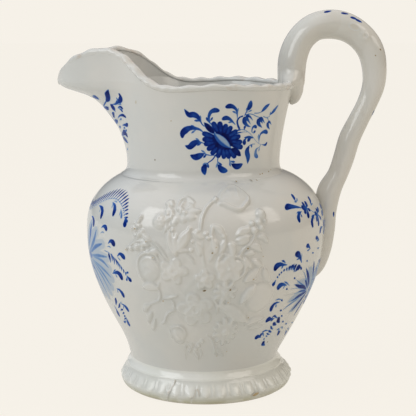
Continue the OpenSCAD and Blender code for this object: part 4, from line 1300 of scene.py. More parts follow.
SPOUT_LEAVES = [
    (0.75, 1.0, -68.9, 119.1, -72.3, 117, -75.3, 115.2, -78.6, 114.1),
    (0.7, 0.75, -80.8, 116.5, -83, 115.6, -86, 115.4), (0.75, 0.8, -80, 112, -83, 111.4, -87, 111.2),
    (0.9, 0.8, -82.5, 99.7, -77, 99.6, -70, 98.4), (0.8, 0.7, -77.4, 106.9, -81.5, 106.3, -86.5, 105.4),
    (0.5, 0.6, -77, 104.5, -79, 104.2, -81.5, 103.8),
    (0.6, 0.8, -77.2, 110, -79.3, 109.3, -81.3, 108.8),
    (0.45, 0.85, -78.6, 109, -80.5, 108.3, -82.6, 107.9), (1.3, 0.5, -90, 119, -90, 116.5, -90, 114),
    (1.3, 0.5, -86, 105, -88, 108, -91, 111),
]
SPOUT_COMMAS = [
    (1.0, 0.85, -63.7, 117.8, -63.9, 116.2, -65.4, 115.2, -68.6, 114.4, -71, 113.6, -74.5, 113.2),
    (1.25, 0.85, -75.3, 111.7, -75.4, 112.2, -74.6, 113.1),
    (0.8, 0.85, -76.5, 112, -75.5, 111, -74.8, 110.4),
    (0.55, 0.85, -65.6, 111.9, -67.8, 112.5, -69.6, 112.3, -71, 111.9),
    (0.55, 0.8, -66.8, 110.8, -68.3, 111.4, -70.3, 111.9),
    (0.6, 0.9, -64.4, 108.6, -67.3, 109.2, -70.7, 109.1, -73.2, 108.6, -76, 107.7),
    (0.75, 0.9, -64, 106, -66.2, 105.5, -69.6, 105.4, -73, 105.1),
    (1.15, 0.9, -68.7, 100.9, -70.3, 101.7, -72, 102.3, -75.7, 101.9, -80, 101.1, -85, 100.6),
    (0.45, 0.6, -67.8, 103.4, -69.6, 103.2, -72, 102.6),
    (0.4, 0.55, -69.8, 104.2, -71.4, 104.2, -73, 103.8),
    (0.35, 0.5, -67.6, 116, -68, 115.3, -69, 114.5),
    (0.3, 0.45, -65.8, 113.7, -67.8, 113.5, -70.5, 113.4),
    (0.35, 0.5, -70.9, 107.8, -73, 107.4, -75, 106.9), (0.5, 0.3, -72.6, 95.9, -74.6, 95.6, -77, 95.3),
]
SPOUT_LINES = [
    (0.2, 0.7, -78.6, 114.1, -81, 113.3, -85, 112.2, -89, 111),
    (0.2, 0.5, -85, 100.6, -89, 100.6, -92, 101.5),
]

# A stem inside the garland, as a stroke, and the garland's spine, at (turn, z).
FRONT_STEM = (0.16, 0.5, -54, 59.2, -51, 58.9, -47, 57.4, -43.8, 55.6, -41, 53, -39.2, 50.9)
FRONT_SPINE = [
    (-39.9, 72.2), (-41.2, 74.2), (-44.2, 76.3), (-47.8, 77.8), (-52.3, 78.6), (-56.9, 78.5),
    (-61.4, 77.5), (-65.5, 76.1), (-70, 74.4), (-75, 72.8), (-81, 72), (-89, 73.5),
]
FRONT_COMMAS = [
    (1.0, 1.0, -58.5, 71, -58.6, 72.8, -60, 74.2, -62.4, 74.9, -65, 75.1),
    (0.95, 0.95, -48.8, 73, -49.1, 74.9, -50.5, 76.3, -53.6, 77.4),
    (0.5, 0.5, -42.7, 72.6, -43.4, 74.2, -45, 75.8),
    (0.95, 0.95, -65.4, 67.2, -65.9, 69, -67.8, 70.1, -70.3, 70.5),
    (0.95, 0.95, -52, 67.3, -52.8, 68.2, -54.6, 68.5, -56.6, 67.8),
    (1.1, 1.0, -46.2, 62.2, -47, 63.1, -48.8, 63.5, -50.7, 62.4),
    (0.95, 0.9, -39.9, 57.8, -41, 58.8, -42.7, 59.3, -44.5, 58.2),
    (1.1, 0.95, -43.5, 49.2, -43.8, 50.5, -45.5, 51.6, -47.8, 51.3, -49.8, 50.8),
    (0.95, 0.9, -45.6, 41.8, -45.9, 43.1, -47.4, 44.4, -49.6, 44.7),
    (0.9, 0.75, -46, 35.8, -46.5, 37, -48.3, 38.1, -50.3, 38.3),
    (1.1, 0.85, -60, 32, -58.9, 33.6, -59.4, 36.2), (0.9, 1.0, -39.6, 70, -39.8, 71.4, -40.1, 73.4),
    (0.45, 0.85, -38.4, 71.6, -39.2, 72.3, -40.2, 73.2),
    (0.75, 0.95, -37.6, 49.3, -38.4, 50.1, -39.6, 51.2),
    (0.4, 0.75, -38.4, 52.6, -39.2, 52.4, -40.3, 51.8), (0.4, 0.7, -40.3, 49.2, -39.8, 50, -39.6, 51),
    (1.05, 0.75, -52.3, 28.9, -51.4, 30.5, -51.2, 32.6), (0.5, 0.75, -57, 29.4, -55, 30, -52.6, 30.8),
]
FRONT_DABS = [
    (0.28, 0.35, -54, 66.1, -55.4, 66.2, -57.4, 65.5), (0.26, 0.4, -48.9, 61, -50, 61.3, -51.6, 61),
    (0.26, 0.4, -42.7, 56.7, -43.4, 57.3, -44.5, 57.9),
    (0.3, 0.5, -46.8, 52.7, -47.8, 52.2, -49.2, 51.3),
    (0.3, 0.4, -46.8, 49.5, -47.2, 50.3, -47.8, 51.1), (0.3, 0.4, -49.3, 43, -49.3, 43.8, -48.9, 44.6),
    (0.3, 0.4, -49.6, 36.4, -49, 37.2, -48.4, 38), (0.3, 0.35, -49.4, 39.2, -50.2, 38.8, -51, 38),
    (0.3, 0.3, -61.8, 72.9, -61.9, 73.8, -62.8, 74.8), (0.3, 0.3, -52, 75.4, -52.3, 76.2, -53.2, 77.1),
    (0.26, 0.3, -50, 77.6, -51.6, 77.9, -53.6, 77.8), (0.3, 0.35, -44.4, 73.5, -44.5, 74.8, -45, 75.8),
]
FRONT_BARBS = [
    (0.6, 1.0, -51, 58.5, -50.2, 57, -50, 55.2), (0.5, 0.7, -48.6, 58.6, -48.3, 57.2, -48.6, 55.8),
    (0.42, 0.85, -47.2, 57.6, -47, 56.2, -47.2, 54.8), (0.4, 0.9, -45.9, 57, -45.4, 56, -45.4, 54.8),
    (0.32, 0.85, -44.8, 56.2, -44.4, 55.2, -44.6, 54.2),
    (0.3, 0.85, -43.8, 55.2, -43.4, 54.4, -43.6, 53.4),
    (0.28, 0.8, -42.7, 54.4, -42.4, 53.6, -42.6, 52.8),
    (0.28, 0.8, -41.5, 53.5, -41.2, 52.8, -41.5, 52),
    (0.28, 0.8, -40.3, 52.5, -40.1, 51.9, -40.4, 51.2),
    (0.75, 0.9, -53.6, 40.2, -54.7, 38.8, -56.6, 37), (0.5, 0.85, -51.6, 38.2, -53, 37, -55.2, 35.9),
    (0.4, 0.85, -50.6, 36, -52, 35.6, -53.8, 35), (0.34, 0.85, -50.7, 34.6, -52, 34.1, -53.2, 33.6),
    (0.32, 0.85, -51, 33.2, -52.2, 32.8, -53.2, 32.4),
    (0.34, 0.75, -51.4, 32.1, -53, 31.6, -54.6, 30.9),
]
FRONT_WASH = [
    (2.6, 0.13, -79, 55, -70, 61, -62, 65.6), (2.4, 0.12, -79, 55, -67, 59, -55.6, 61.6),
    (2.2, 0.12, -79, 55, -66, 56.6, -52.6, 56.4), (2.3, 0.12, -79, 55, -64, 54.6, -51.8, 52.4),
    (2.5, 0.13, -79, 55, -63, 52, -51.6, 48.6), (2.5, 0.13, -79, 55, -65, 50, -54, 45),
    (2.5, 0.13, -79, 55, -66, 48, -57.5, 42.4), (2.6, 0.13, -79, 54, -70, 46, -63, 40),
    (2.6, 0.16, -80, 54, -74, 46, -70, 40), (2.4, 0.15, -80, 56, -74, 62, -69, 67.5),
]
FRONT_RAYS = [
    (0.9, 0.4, -61.8, 66, -64.4, 62.4, -69.5, 58.6, -76, 55.4),
    (0.75, 0.45, -56.3, 61.5, -63, 59.6, -69.5, 57, -76, 55.2),
    (0.6, 0.4, -52.8, 56.9, -60, 56.4, -68, 55.4, -76, 54.8),
    (0.55, 0.36, -52.6, 52.8, -56, 54.4, -61, 55, -68, 54.8),
    (0.6, 0.32, -52, 49, -56, 50.8, -61, 52.2, -70, 53.6),
    (0.6, 0.32, -54.4, 45.4, -58, 48.6, -63, 51.2, -72, 53.4),
    (0.55, 0.3, -57.8, 43, -60.4, 47, -66, 50.6, -73, 53),
    (0.8, 0.36, -63, 41.5, -66, 46, -71, 50.6, -76, 53.6),
    (0.9, 0.55, -68.6, 67.6, -70.5, 63.4, -74, 58.6), (1.3, 0.5, -70.6, 54.6, -73, 54.8, -77, 54.8),
    (1.2, 0.45, -70, 50, -72.5, 50.6, -76, 52), (1.1, 0.42, -70, 45, -73, 46.5, -77, 50),
]

REAR_COMMAS = [
    (1.0, 1.0, 42, 75.9, 44.6, 76.5, 48, 76.2, 51.5, 75.7, 54.4, 75.1),
    (0.85, 0.9, 52.8, 79.8, 52, 78.7, 51.9, 77.4),
    (0.95, 0.95, 49.2, 70.6, 49, 72, 50.4, 73.4, 52.8, 74),
    (0.95, 0.95, 60, 67.4, 59.6, 69.2, 61.4, 70.8, 64.6, 71.6),
    (0.85, 0.9, 67.3, 77.8, 65.7, 76.4, 64.4, 75), (0.95, 0.7, 68.7, 64, 70.3, 65.4, 74, 65.6),
    (0.9, 1.0, 54.6, 75.3, 56, 75, 58.4, 74.8), (0.8, 1.0, 56.8, 76.6, 57.4, 75.8, 58.4, 74.8),
    (0.95, 0.85, 60.3, 76.5, 59.4, 75.6, 58.4, 74.8), (0.8, 0.95, 55.2, 73.3, 56.6, 73.9, 58.4, 74.7),
    (0.95, 1.0, 57.1, 71.5, 58, 72.9, 58.6, 74.6), (0.6, 1.0, 60.9, 73.7, 59.8, 74, 58.6, 74.7),
    (0.85, 0.9, 54, 60.9, 55.4, 60.7, 57.6, 59.3), (0.75, 0.9, 63, 62.8, 65, 62.5, 68, 61.2),
    (1.2, 1.0, 45.8, 58.8, 47.6, 58.4, 49.4, 56.8, 50.9, 54.8),
    (1.15, 1.0, 33.4, 53.9, 34, 55.1, 35.8, 55.8, 38, 55.5, 40.4, 55.2),
    (1.1, 0.85, 37.4, 46, 37.3, 46.9, 38.6, 47.5, 40.4, 47.4, 42.4, 46.8),
    (0.9, 0.95, 36.6, 37, 36.2, 38.3, 36.9, 39.6, 38.5, 40.2, 40.6, 40.1),
    (1.1, 1.0, 35.8, 32.7, 36.6, 33.3, 38.6, 33.1, 40.4, 33.3),
    (0.95, 0.95, 53.6, 24.8, 52, 25.7, 50.8, 27), (0.95, 0.7, 67.5, 22.8, 65.4, 23.6, 62.6, 24.8),
    (1.0, 0.95, 32, 25.9, 34.3, 26, 36.4, 25.5), (0.7, 0.95, 35.4, 27, 35.4, 26.3, 35.8, 25.6),
    (0.95, 0.95, 40, 22.9, 41, 22, 43.6, 21), (0.7, 0.9, 33.4, 47.9, 34, 48.8, 34.7, 49.9),
    (0.95, 0.85, 65.4, 71.8, 66.6, 71.7, 68.4, 71.4), (0.85, 0.8, 68.9, 73, 68.8, 72.4, 68.6, 71.4),
    (0.95, 0.75, 72.3, 73, 70.4, 72.4, 68.6, 71.4), (0.85, 0.8, 65.2, 69.3, 66.6, 70.2, 68.6, 71.2),
    (1.0, 0.8, 67, 67.3, 67.8, 69.2, 68.6, 71.2), (0.7, 0.8, 72.4, 69, 70.6, 70, 68.8, 71.2),
    (1.1, 0.7, 78.6, 72.9, 80.6, 73, 84, 72), (1.1, 0.6, 76, 70.4, 79, 70.6, 84, 71.6),
    (1.5, 0.7, 76.6, 66.4, 81, 66.2, 88, 67), (1.3, 0.6, 76.4, 63.4, 80, 63.4, 87, 65),
    (0.85, 0.95, 43.8, 76.2, 46, 76.5, 50, 76),
]
REAR_DABS = [
    (0.3, 0.5, 54.8, 78.7, 53.8, 78.1, 52, 77.6), (0.32, 0.45, 50.8, 77.6, 51.8, 77.6, 53, 77.6),
    (0.28, 0.55, 48.5, 73.7, 50, 74, 52.6, 74), (0.36, 0.7, 51.8, 72, 51.6, 72.8, 51.4, 73.6),
    (0.3, 0.6, 60.2, 71.2, 62, 71.5, 64.6, 71.6), (0.3, 0.5, 62.4, 70, 62.6, 70.8, 63.4, 71.5),
    (0.3, 0.4, 67.6, 75.6, 66, 75.4, 64.4, 75), (0.3, 0.5, 64.2, 61.5, 65.6, 61.3, 67.6, 61.1),
    (0.3, 0.55, 54.6, 58.9, 55.8, 59, 57.6, 59.3), (0.34, 0.6, 46.8, 56.4, 47.8, 56.6, 49.4, 56.8),
    (0.24, 0.35, 50.2, 58.6, 50.5, 57.2, 50.6, 55.8), (0.4, 0.75, 37, 57.2, 38, 56.9, 39.4, 56),
    (0.34, 0.6, 37.2, 54.2, 37.8, 54.8, 38.6, 55.4), (0.3, 0.6, 40.3, 48.6, 41.8, 48, 44.4, 46.5),
    (0.34, 0.4, 40.5, 45.8, 40.8, 46.4, 41.4, 47.2), (0.28, 0.55, 37.4, 41.4, 39, 41.6, 42, 40.9),
    (0.34, 0.55, 39.3, 38.2, 38.8, 39, 38.4, 40),
    (0.4, 0.85, 38.8, 33.5, 40.2, 34.4, 42, 33.7, 44.4, 32.8),
    (0.36, 0.8, 39.3, 32.2, 40.2, 32.8, 41.4, 33.3), (0.36, 0.6, 35.6, 28, 37.6, 28.3, 40.4, 28),
    (0.4, 0.6, 36, 27.8, 37, 26.9, 38.4, 25.7), (0.4, 0.55, 48.6, 27.2, 50, 27.4, 51.6, 27),
    (0.34, 0.45, 55, 26.8, 53.4, 27.7, 51.4, 27.9), (0.4, 0.35, 64, 25.4, 67, 25, 71, 23.5),
]
REAR_BARBS = [
    (1.0, 1.0, 44.6, 33.2, 45.4, 31.9, 47.6, 30.6), (0.75, 0.9, 41.8, 31.2, 43, 30.6, 45.4, 29.8),
    (0.45, 0.85, 40.8, 29.9, 42, 29, 44, 28.1), (0.5, 0.8, 40.6, 28, 42, 27.4, 44, 26.8),
    (0.34, 0.8, 40, 26.8, 41.4, 26.3, 43.4, 25.9), (0.28, 0.75, 40.2, 25.7, 41, 25.4, 42, 25.1),
    (0.34, 0.7, 39.4, 24.7, 39.8, 24.3, 40.4, 24), (0.3, 0.8, 46.4, 33.8, 47.2, 33.4, 48, 33.2),
    (1.1, 1.0, 50, 53.4, 48.4, 53, 47, 52), (0.5, 0.95, 51.8, 52, 51, 52.6, 50, 53.4),
    (0.62, 0.95, 47, 54.6, 46, 53.4, 46, 51.8), (0.46, 0.9, 45.2, 54.9, 44.8, 53.8, 45, 52.6),
    (0.46, 0.95, 44.2, 54.8, 43.8, 53.9, 43.8, 52.8), (0.34, 0.85, 43, 54.6, 42.8, 53.8, 42.8, 52.9),
    (0.42, 0.9, 42.2, 54.5, 42, 53.7, 42.2, 52.8), (0.38, 0.85, 40.6, 54.1, 40.6, 53.4, 41, 52.8),
    (0.42, 0.85, 39.2, 53.5, 38.9, 53.1, 38.9, 52.8), (0.36, 0.8, 37.6, 52.7, 37.4, 52.5, 37.2, 52.3),
    (0.36, 0.8, 36.5, 51.9, 36.3, 51.8, 36.1, 51.6), (0.3, 0.8, 35.2, 51.2, 35.5, 50.9, 35.8, 50.6),
    (0.34, 0.9, 46.8, 49.3, 47.3, 49.1, 47.9, 48.8), (0.34, 1.0, 42.8, 45.5, 43.2, 45.3, 43.7, 45),
    (0.34, 1.0, 41.4, 41, 42, 40.8, 42.6, 40.3), (0.38, 1.0, 43.4, 36.4, 44.2, 36.2, 45, 35.9),
    (0.3, 0.75, 55, 54.9, 55.7, 54.8, 56.6, 54.5), (0.3, 0.7, 60, 57.4, 61, 57.2, 62, 57),
    (0.3, 0.55, 66, 58.3, 67.6, 58.1, 69.4, 57.9), (0.34, 0.8, 50.2, 30.7, 51.2, 30.4, 52.2, 30.1),
    (0.34, 0.65, 55.8, 28.9, 57, 28.6, 58.4, 28.3), (0.3, 0.4, 66, 27.8, 69, 27.2, 73, 26.4),
]
REAR_RAYS = [
    (0.75, 0.85, 55.8, 51.9, 58.8, 49.2, 62.4, 46, 66, 43),
    (0.75, 0.7, 63.8, 53.4, 65.6, 50.2, 67.6, 46.6),
    (0.2, 0.45, 52.4, 51.9, 56.5, 48.8, 60, 46, 64, 43),
    (0.2, 0.5, 47.8, 48.8, 53, 46.4, 58, 44.6, 63, 42.6),
    (0.7, 0.9, 48.4, 46.4, 53.2, 45, 58, 44, 63.6, 42), (0.55, 0.75, 57.4, 47, 60.6, 45, 65, 42.4),
    (0.15, 0.25, 43, 42.6, 50, 42.4, 58, 42, 64, 41), (0.4, 0.65, 54.2, 42.6, 58, 42.4, 64, 41.4),
    (0.7, 0.85, 50.6, 39.3, 55.2, 40.3, 60, 40.8, 66, 41), (0.15, 0.35, 46.8, 39, 52, 39.8, 57, 40.4),
    (0.4, 0.35, 45.2, 36, 48, 37.2, 53, 38.6, 58, 39.8),
    (0.8, 0.85, 55.4, 34.2, 58.8, 36.6, 62.5, 38.6, 67, 40.4), (0.2, 0.4, 52.6, 33.6, 56, 36, 60, 38),
    (0.85, 0.65, 62.8, 31.2, 65, 34.4, 67.6, 37.8), (0.15, 0.25, 44, 45, 50, 44.6, 57, 43.4),
    (0.8, 0.6, 69, 50.5, 73, 48, 78, 45.5, 84, 43), (0.9, 0.65, 72, 52.4, 78, 51.4, 86, 50.4),
    (0.7, 0.5, 68, 45.6, 74, 44.6, 82, 43.6, 88, 43), (0.8, 0.5, 67, 41.6, 73, 40.6, 80, 40, 88, 40),
    (1.2, 0.6, 67, 38.6, 74, 37.4, 82, 36.4, 88, 37), (1.1, 0.65, 69, 36.4, 76, 35, 86, 34.4),
]
REAR_WASH = [
    (2.6, 0.13, 66, 42, 58, 45, 50, 47), (2.6, 0.13, 66, 42, 57, 41, 47, 39.6),
    (2.4, 0.13, 66, 41, 60, 37, 53, 34.4), (2.8, 0.14, 67, 43, 63, 48, 59, 51.6),
    (3.4, 0.3, 68, 42, 76, 44, 88, 45), (3.4, 0.3, 68, 41, 76, 39, 88, 38),
    (3, 0.24, 68, 44, 72, 48, 78, 51),
]

# Pits, specks and cracks on the near side, as strokes.
BELLY_SPOTS = [
    (0.3, 1.0, -1.3, 48, -0.5, 48.1, 0.2, 48.3), (0.26, 1.0, 10.9, 48.1, 11.6, 48.2),
    (0.24, 0.9, 18.2, 63.4, 18.9, 63.4), (0.22, 1.0, 2.6, 62.2, 3.2, 62.3),
    (0.18, 0.9, 22, 36.1, 22.6, 36.1), (0.26, 0.4, -33.2, 69.5, -32.5, 69.8),
    (0.22, 0.5, -20.9, 43.2, -20.2, 43.4), (0.2, 0.5, 21.6, 51.5, 22.3, 51.7),
    (0.3, 0.3, 26.8, 75.7, 27.6, 75.9), (0.22, 0.25, 4.3, 64.2, 5, 64.4),
    (0.2, 0.35, 10.3, 43, 11, 43.1), (0.24, 0.22, -27.2, 65.4, -26.4, 65.6),
    (0.3, 0.3, -38.6, 61.4, -37.8, 61.6), (0.24, 0.25, -24, 59.7, -23.2, 59.9),
    (0.2, 0.25, 25.6, 60, 26.3, 60), (0.17, 0.9, 20.2, 85.6, 20.8, 85.7),
    (0.17, 0.9, 31.7, 85.7, 32.3, 85.8), (0.16, 0.9, 36.2, 85.7, 36.8, 85.8),
    (0.2, 0.28, 7, 19.6, 7.8, 19.7), (0.2, 0.3, 13, 21.6, 13.8, 21.7),
    (0.07, 0.22, -13.2, 23.4, -13, 20, -13.4, 16.4),
]
NECK_SPOTS = [
    (0.45, 0.16, -50.2, 114.3, -49.5, 114.9, -49, 115.6), (0.2, 0.9, 55, 87.9, 55.7, 88),
    (0.18, 0.9, 47, 87.6, 47.5, 87.6), (0.16, 0.9, 44.4, 87.4, 44.9, 87.5),
    (0.16, 0.8, 58.5, 88.4, 59, 88.5), (0.15, 0.6, -22, 108.4, -21.5, 108.5),
]
FOOT_CRACKS = [
    (0.09, 0.3, -20.5, 9, -21.5, 7.4, -23.6, 5.4, -24.6, 3.6, -25.6, 2, -26, 0.8),
    (0.07, 0.28, -6.2, 6.4, -7, 4.6, -8.6, 2.8, -9.6, 1),
    (0.3, 0.13, -5, 6.2, -4.4, 5.2, -4.6, 4.4), (0.28, 0.12, -25, 4.4, -24, 5.2, -23, 5.6),
]


STROKE_POINTS = 44
PAINT_LIFT = 0.012  # how far the edge of the paint lies off the glaze
PAINT_THICK = 0.03
FAINTEST = 0.012  # paint thinner than this is left out of the mesh

# Millimetres to a degree of turn on each surface.
BELLY_MM = 0.82
NECK_MM = 0.54
SPOUT_MM = 0.75
FOOT_MM = 0.6
BRANCH_MM = 0.09


def comma_width(t):
    """A round head and a tail that thins to a hair."""
    head = np.sqrt(np.clip(1 - (1 - np.minimum(t / 0.25, 1)) ** 2, 0, 1))
    return np.where(t < 0.25, head, 1 - 0.88 * np.clip((t - 0.25) / 0.75, 0, 1) ** 0.85)


def leaf_width(t):
    """Pointed at both ends."""
    return np.sin(np.pi * np.clip(t, 0.02, 0.98)) ** 0.75


def round_width(t):
    """Narrow where it starts and blunt where it ends."""
    return 0.15 + 0.85 * np.sin(np.pi * np.clip(t * 0.74, 0, 1)) ** 0.8


def line_width(t):
    """Almost even."""
    return 1 - 0.35 * t


def dab_width(t):
    """A short blunt head and a tail that thins."""
    return np.where(t < 0.35, np.sqrt(np.clip(t / 0.35, 0.05, 1)), 1 - 0.75 * (t - 0.35) / 0.65)


class Painting(Grid):
    """Paint on a grid of (turn, z), laid stroke over stroke."""

    def __init__(self, low, high, scale, step=0.2):
        super().__init__(low, (high[0] + step / scale, high[1] + step), scale, step)
        self.tone = np.zeros((len(self.z), len(self.turn)))

    def lay(self, strokes, width, fade=0.35, soft=0.14, bloom=0.0):
        """Lays strokes whose ink fades along the way, with an edge as soft as soft says, and
        with thinner ink in the middle as bloom says."""
        t = np.linspace(0, 1, STROKE_POINTS)
        for size, tone, *points in strokes:
            line = through(np.reshape(points, (-1, 2)), STROKE_POINTS)
            half = size * width(t)
            window = self.window(line, size + 0.4)
            gaps = self.gaps(window, line)
            if gaps.size == 0:
                continue
            best = np.argmin(gaps - half, axis=2)
            inside = half[best] - np.take_along_axis(gaps, best[..., None], 2)[..., 0]
            cover = ease(inside, -soft, soft)
            depth = np.clip(inside / max(size, 0.01), 0, 1)
            ink = tone * (1 - fade * t[best]) * (1 - bloom * depth)
            self.tone[window] = self.tone[window] * (1 - cover) + ink * cover

    def piece(self, name, surface, material, slot, turned=0.0, mirror=None):
        """Makes the painted part of the grid into a thin mesh on a surface, turned by an
        angle or mirrored about one."""
        turn = self.turn if mirror is None else 2 * mirror - self.turn
        cover = np.clip(self.tone / 0.12, 0, 1)
        grid = surface(turn[None] - 90 + turned, self.z[:, None], PAINT_LIFT + PAINT_THICK * cover)
        faces = grid_faces(len(self.z), len(self.turn))
        if mirror is not None:
            faces = faces[:, ::-1]
        tone = self.tone.ravel()
        faces = faces[(tone[faces] > FAINTEST).any(axis=1)]
        used, faces = np.unique(faces, return_inverse=True)
        make(name, grid.reshape(-1, 3)[used], faces.reshape(-1, 4), material,
             tone=tone[used])


def petal_width(t):
    """Wide all along and blunt at the tip."""
    return 0.55 + 0.45 * np.sin(np.pi * np.clip(t * 0.72, 0, 1))


def paint_neck():
    """A daisy-like flower seen from the side, with sprigs round it."""
    p = Painting((-16, 86.9), (60, 117), NECK_MM, 0.17)
    p.lay(NECK_LINES, line_width, 0.1, 0.1)
    p.lay(NECK_DABS, dab_width, 0.4, 0.1)
    p.lay(NECK_LEAVES, leaf_width, 0.25, 0.12, 0.1)
    p.lay(NECK_COMMAS, comma_width, 0.45, 0.12, 0.12)
    middle = np.array(NECK_MIDDLE)
    dark, light = [], []
    for end in np.array(NECK_PETALS):
        start = middle + (end - middle) * 0.35
        dark.append((1.02, 1.0, *start, *((start + end) / 2), *end))
        light.append((0.62, 0.72, *(start * 0.6 + end * 0.4), *((start + end * 3) / 4), *end))
    p.lay(dark, petal_width, 0.12, 0.12)
    p.lay(light, petal_width, -0.1, 0.3)
    p.lay(NECK_SEPALS, leaf_width, 0.0, 0.12)
    p.lay([(2.4, 1.0, 8.4, 103.6, 13.4, 101, 18.6, 98.4)], leaf_width, 0, 0.2)
    p.lay([(1.45, 0.6, 7.5, 103.9, 13.2, 101, 19.6, 98.3)], leaf_width, 0, 0.2)
    p.lay([(0.9, 0.16, 8.4, 103.8, 14.4, 101.2, 19.4, 98.4)], leaf_width, 0, 0.3)
    return p


def paint_spout():
    """Small sprays under the beak."""
    p = Painting((-94, 94), (-61, 120.5), SPOUT_MM)
    p.lay(SPOUT_LINES, line_width, 0.2, 0.1)
    p.lay(SPOUT_LEAVES, leaf_width, 0.3)
    p.lay(SPOUT_COMMAS, comma_width, 0.4)
    return p


def garland_barbs(spine):
    """Short strokes along the outside of the garland's spine. They grow, lean back and
    stand further apart as they get away from its start."""
    squeeze = np.array([BELLY_MM, 1.0])
    arc = way_along(spine * squeeze)
    middle = np.array([-62, 62])
    at, barbs = 1.0, []
    while at < arc[-1]:
        k = min(np.searchsorted(arc, at), len(spine) - 2)
        base = spine[k]
        way = unit((spine[k + 1] - base) * squeeze)
        out = np.array([way[1], -way[0]])
        if out @ ((base - middle) * squeeze) < 0:
            out = -out
        grow = min(1.0, 0.45 + at / 14)
        far = ease(at, 1, 11)
        tip = (2.5 + 0.8 * far) * grow * out - (1.0 + 0.6 * far) * grow * way
        bend = base + tip * (0.5, 0.55) / squeeze
        barbs.append((0.32 + 0.16 * far, 0.95, *(base + tip / squeeze), *bend, *base))
        at += 1.2 + 0.62 * far
    return barbs


def paint_front():
    """A garland about a palmette in a thin wash, under the spout."""
    p = Painting((-90, 26), (-36, 82), BELLY_MM, 0.14)
    p.lay(FRONT_WASH, round_width, 0.15, 0.45)
    p.lay(FRONT_RAYS, dab_width, 0.3, 0.3)
    spine = through(FRONT_SPINE, 400)
    p.lay(garland_barbs(spine), dab_width, 0.4, 0.08)
    p.lay([(0.22, 0.5, *spine[::40].ravel())], line_width, 0.3, 0.15)
    p.lay(FRONT_DABS, dab_width, 0.4, 0.1)
    p.lay([FRONT_STEM], line_width)
    p.lay(FRONT_BARBS, dab_width, 0.35, 0.12)
    p.lay(FRONT_COMMAS, comma_width, 0.5, 0.14, 0.12)
    return p


def paint_rear():
    """A feathery flower and sprays on the belly, towards the handle."""
    p = Painting((31, 19), (90, 82), BELLY_MM)
    p.lay(REAR_WASH, leaf_width, 0.1, 0.6)
    p.lay(REAR_RAYS, leaf_width, 0.1, 0.12)
    p.lay([(0.18, 0.5, 58.6, 74.7, 63, 73, 66, 71.8, 72, 69.4, 78, 66)], line_width)
    p.lay(REAR_DABS, dab_width, 0.35, 0.1)
    p.lay(REAR_BARBS, dab_width, 0.3, 0.12)
    p.lay(REAR_COMMAS, comma_width, 0.45, 0.14, 0.12)
    return p


# Dabs on the handle, at the (x, z) where they show from the front.
HANDLE_DABS = [(47.5, 148.6), (54.2, 147.8), (57.8, 145.9), (59.6, 144.9), (66.1, 109), (51, 69)]
# Marks on the handle: (half width, tone, x, z).
HANDLE_SPOTS = [(1.1, 0.11, 57.6, 142.8), (0.2, 0.8, 67.9, 133.9), (0.17, 0.8, 66.1, 131.5)]


def paint_handle():
    """Single dabs along the branch, at (angle about its line, way along)."""
    p = Painting((-75, 0), (30, LOOP_LENGTH), BRANCH_MM, 0.12)
    dabs = []
    for x, z in HANDLE_DABS:
        b, way = branch_place(x, z)
        dabs.append((0.62, 0.95, b - 4, way - 1.1, b, way, b + 3, way + 1.1))
    p.lay(dabs, leaf_width, 0.3, 0.1)
    return p


def make_paintings(paint):
    """Each painting on the near side, and again turned or mirrored on the far side."""
    for name, painting, surface, slot, other in (
        ("neck", paint_neck(), wall_point, "glaze_neck", {"turned": 180.0}),
        ("spout", paint_spout(), wall_point, "glaze_neck", {"mirror": -93.5}),
        ("front", paint_front(), belly_point, "glaze_body", {"mirror": -90.0}),
        ("rear", paint_rear(), belly_point, "glaze_body", {"mirror": 90.0}),
    ):
        painting.piece(f"painted_{name}_near", surface, paint, slot)
        painting.piece(f"painted_{name}_far", surface, paint, slot, **other)
    paint_handle().piece("painted_handle", branch_point, paint, "glaze_handle", turned=90.0)


def foot_point(a, z, lift=0.0):
    """Point just over the foot's raised tongues."""
    a, z = together(a, z)
    r = foot_outline_at(z) + 0.42 + np.asarray(lift)
    c, s = polar(a)
    return np.stack([r * c + sway(z), r * s, z], -1)


def bouquet_point(a, z, lift=0.0):
    """Point on the belly, over the raised clay where there is some."""
    return belly_point(a, z, lift + 0.9 * on_relief(a, z))


def make_blemishes(material):
    """Pits, iron specks and stains, a chip and the hairline cracks in the foot."""
    spots = Painting((-52, 14), (45, 86.4), BELLY_MM, 0.15)
    spots.lay(BELLY_SPOTS, leaf_width, 0.2, 0.12)
    spots.piece("blemishes_belly", bouquet_point, material, "glaze_body")
    stain = Painting((-60, 87), (65, 120), NECK_MM, 0.15)
    stain.lay(NECK_SPOTS, leaf_width, 0.2, 0.14)
    stain.piece("blemishes_neck", wall_point, material, "glaze_neck")
    cracks = Painting((-30, 0.6), (48, 9.2), FOOT_MM, 0.12)
    cracks.lay(FOOT_CRACKS, line_width, 0.3, 0.1)
    cracks.lay([(0.55, 0.42, 31, 2.6, 33.4, 2.9, 36.2, 3.3)], leaf_width, 0.2, 0.12)
    cracks.piece("blemishes_foot", foot_point, material, "glaze_foot")
    marks = Painting((-120, 30), (-20, LOOP_LENGTH), BRANCH_MM, 0.15)
    for half, tone, x, z in HANDLE_SPOTS:
        b, way = branch_place(x, z)
        long = half * 1.6
        soft = 0.12 + 0.4 * (half > 1)
        spot = (half, tone, b - 2, way - long, b, way, b + 2, way + long)
        marks.lay([spot], leaf_width, 0.2, soft)
    marks.piece("blemishes_handle", branch_point, material, "glaze_handle", turned=90.0)


# ---- camera, light and floor -------------------------------------------------


CAMERA_PLACE = (0.0009, -0.4574, 0.1435)
CAMERA_PITCH = 9.0
CAMERA_ROLL = 0.1


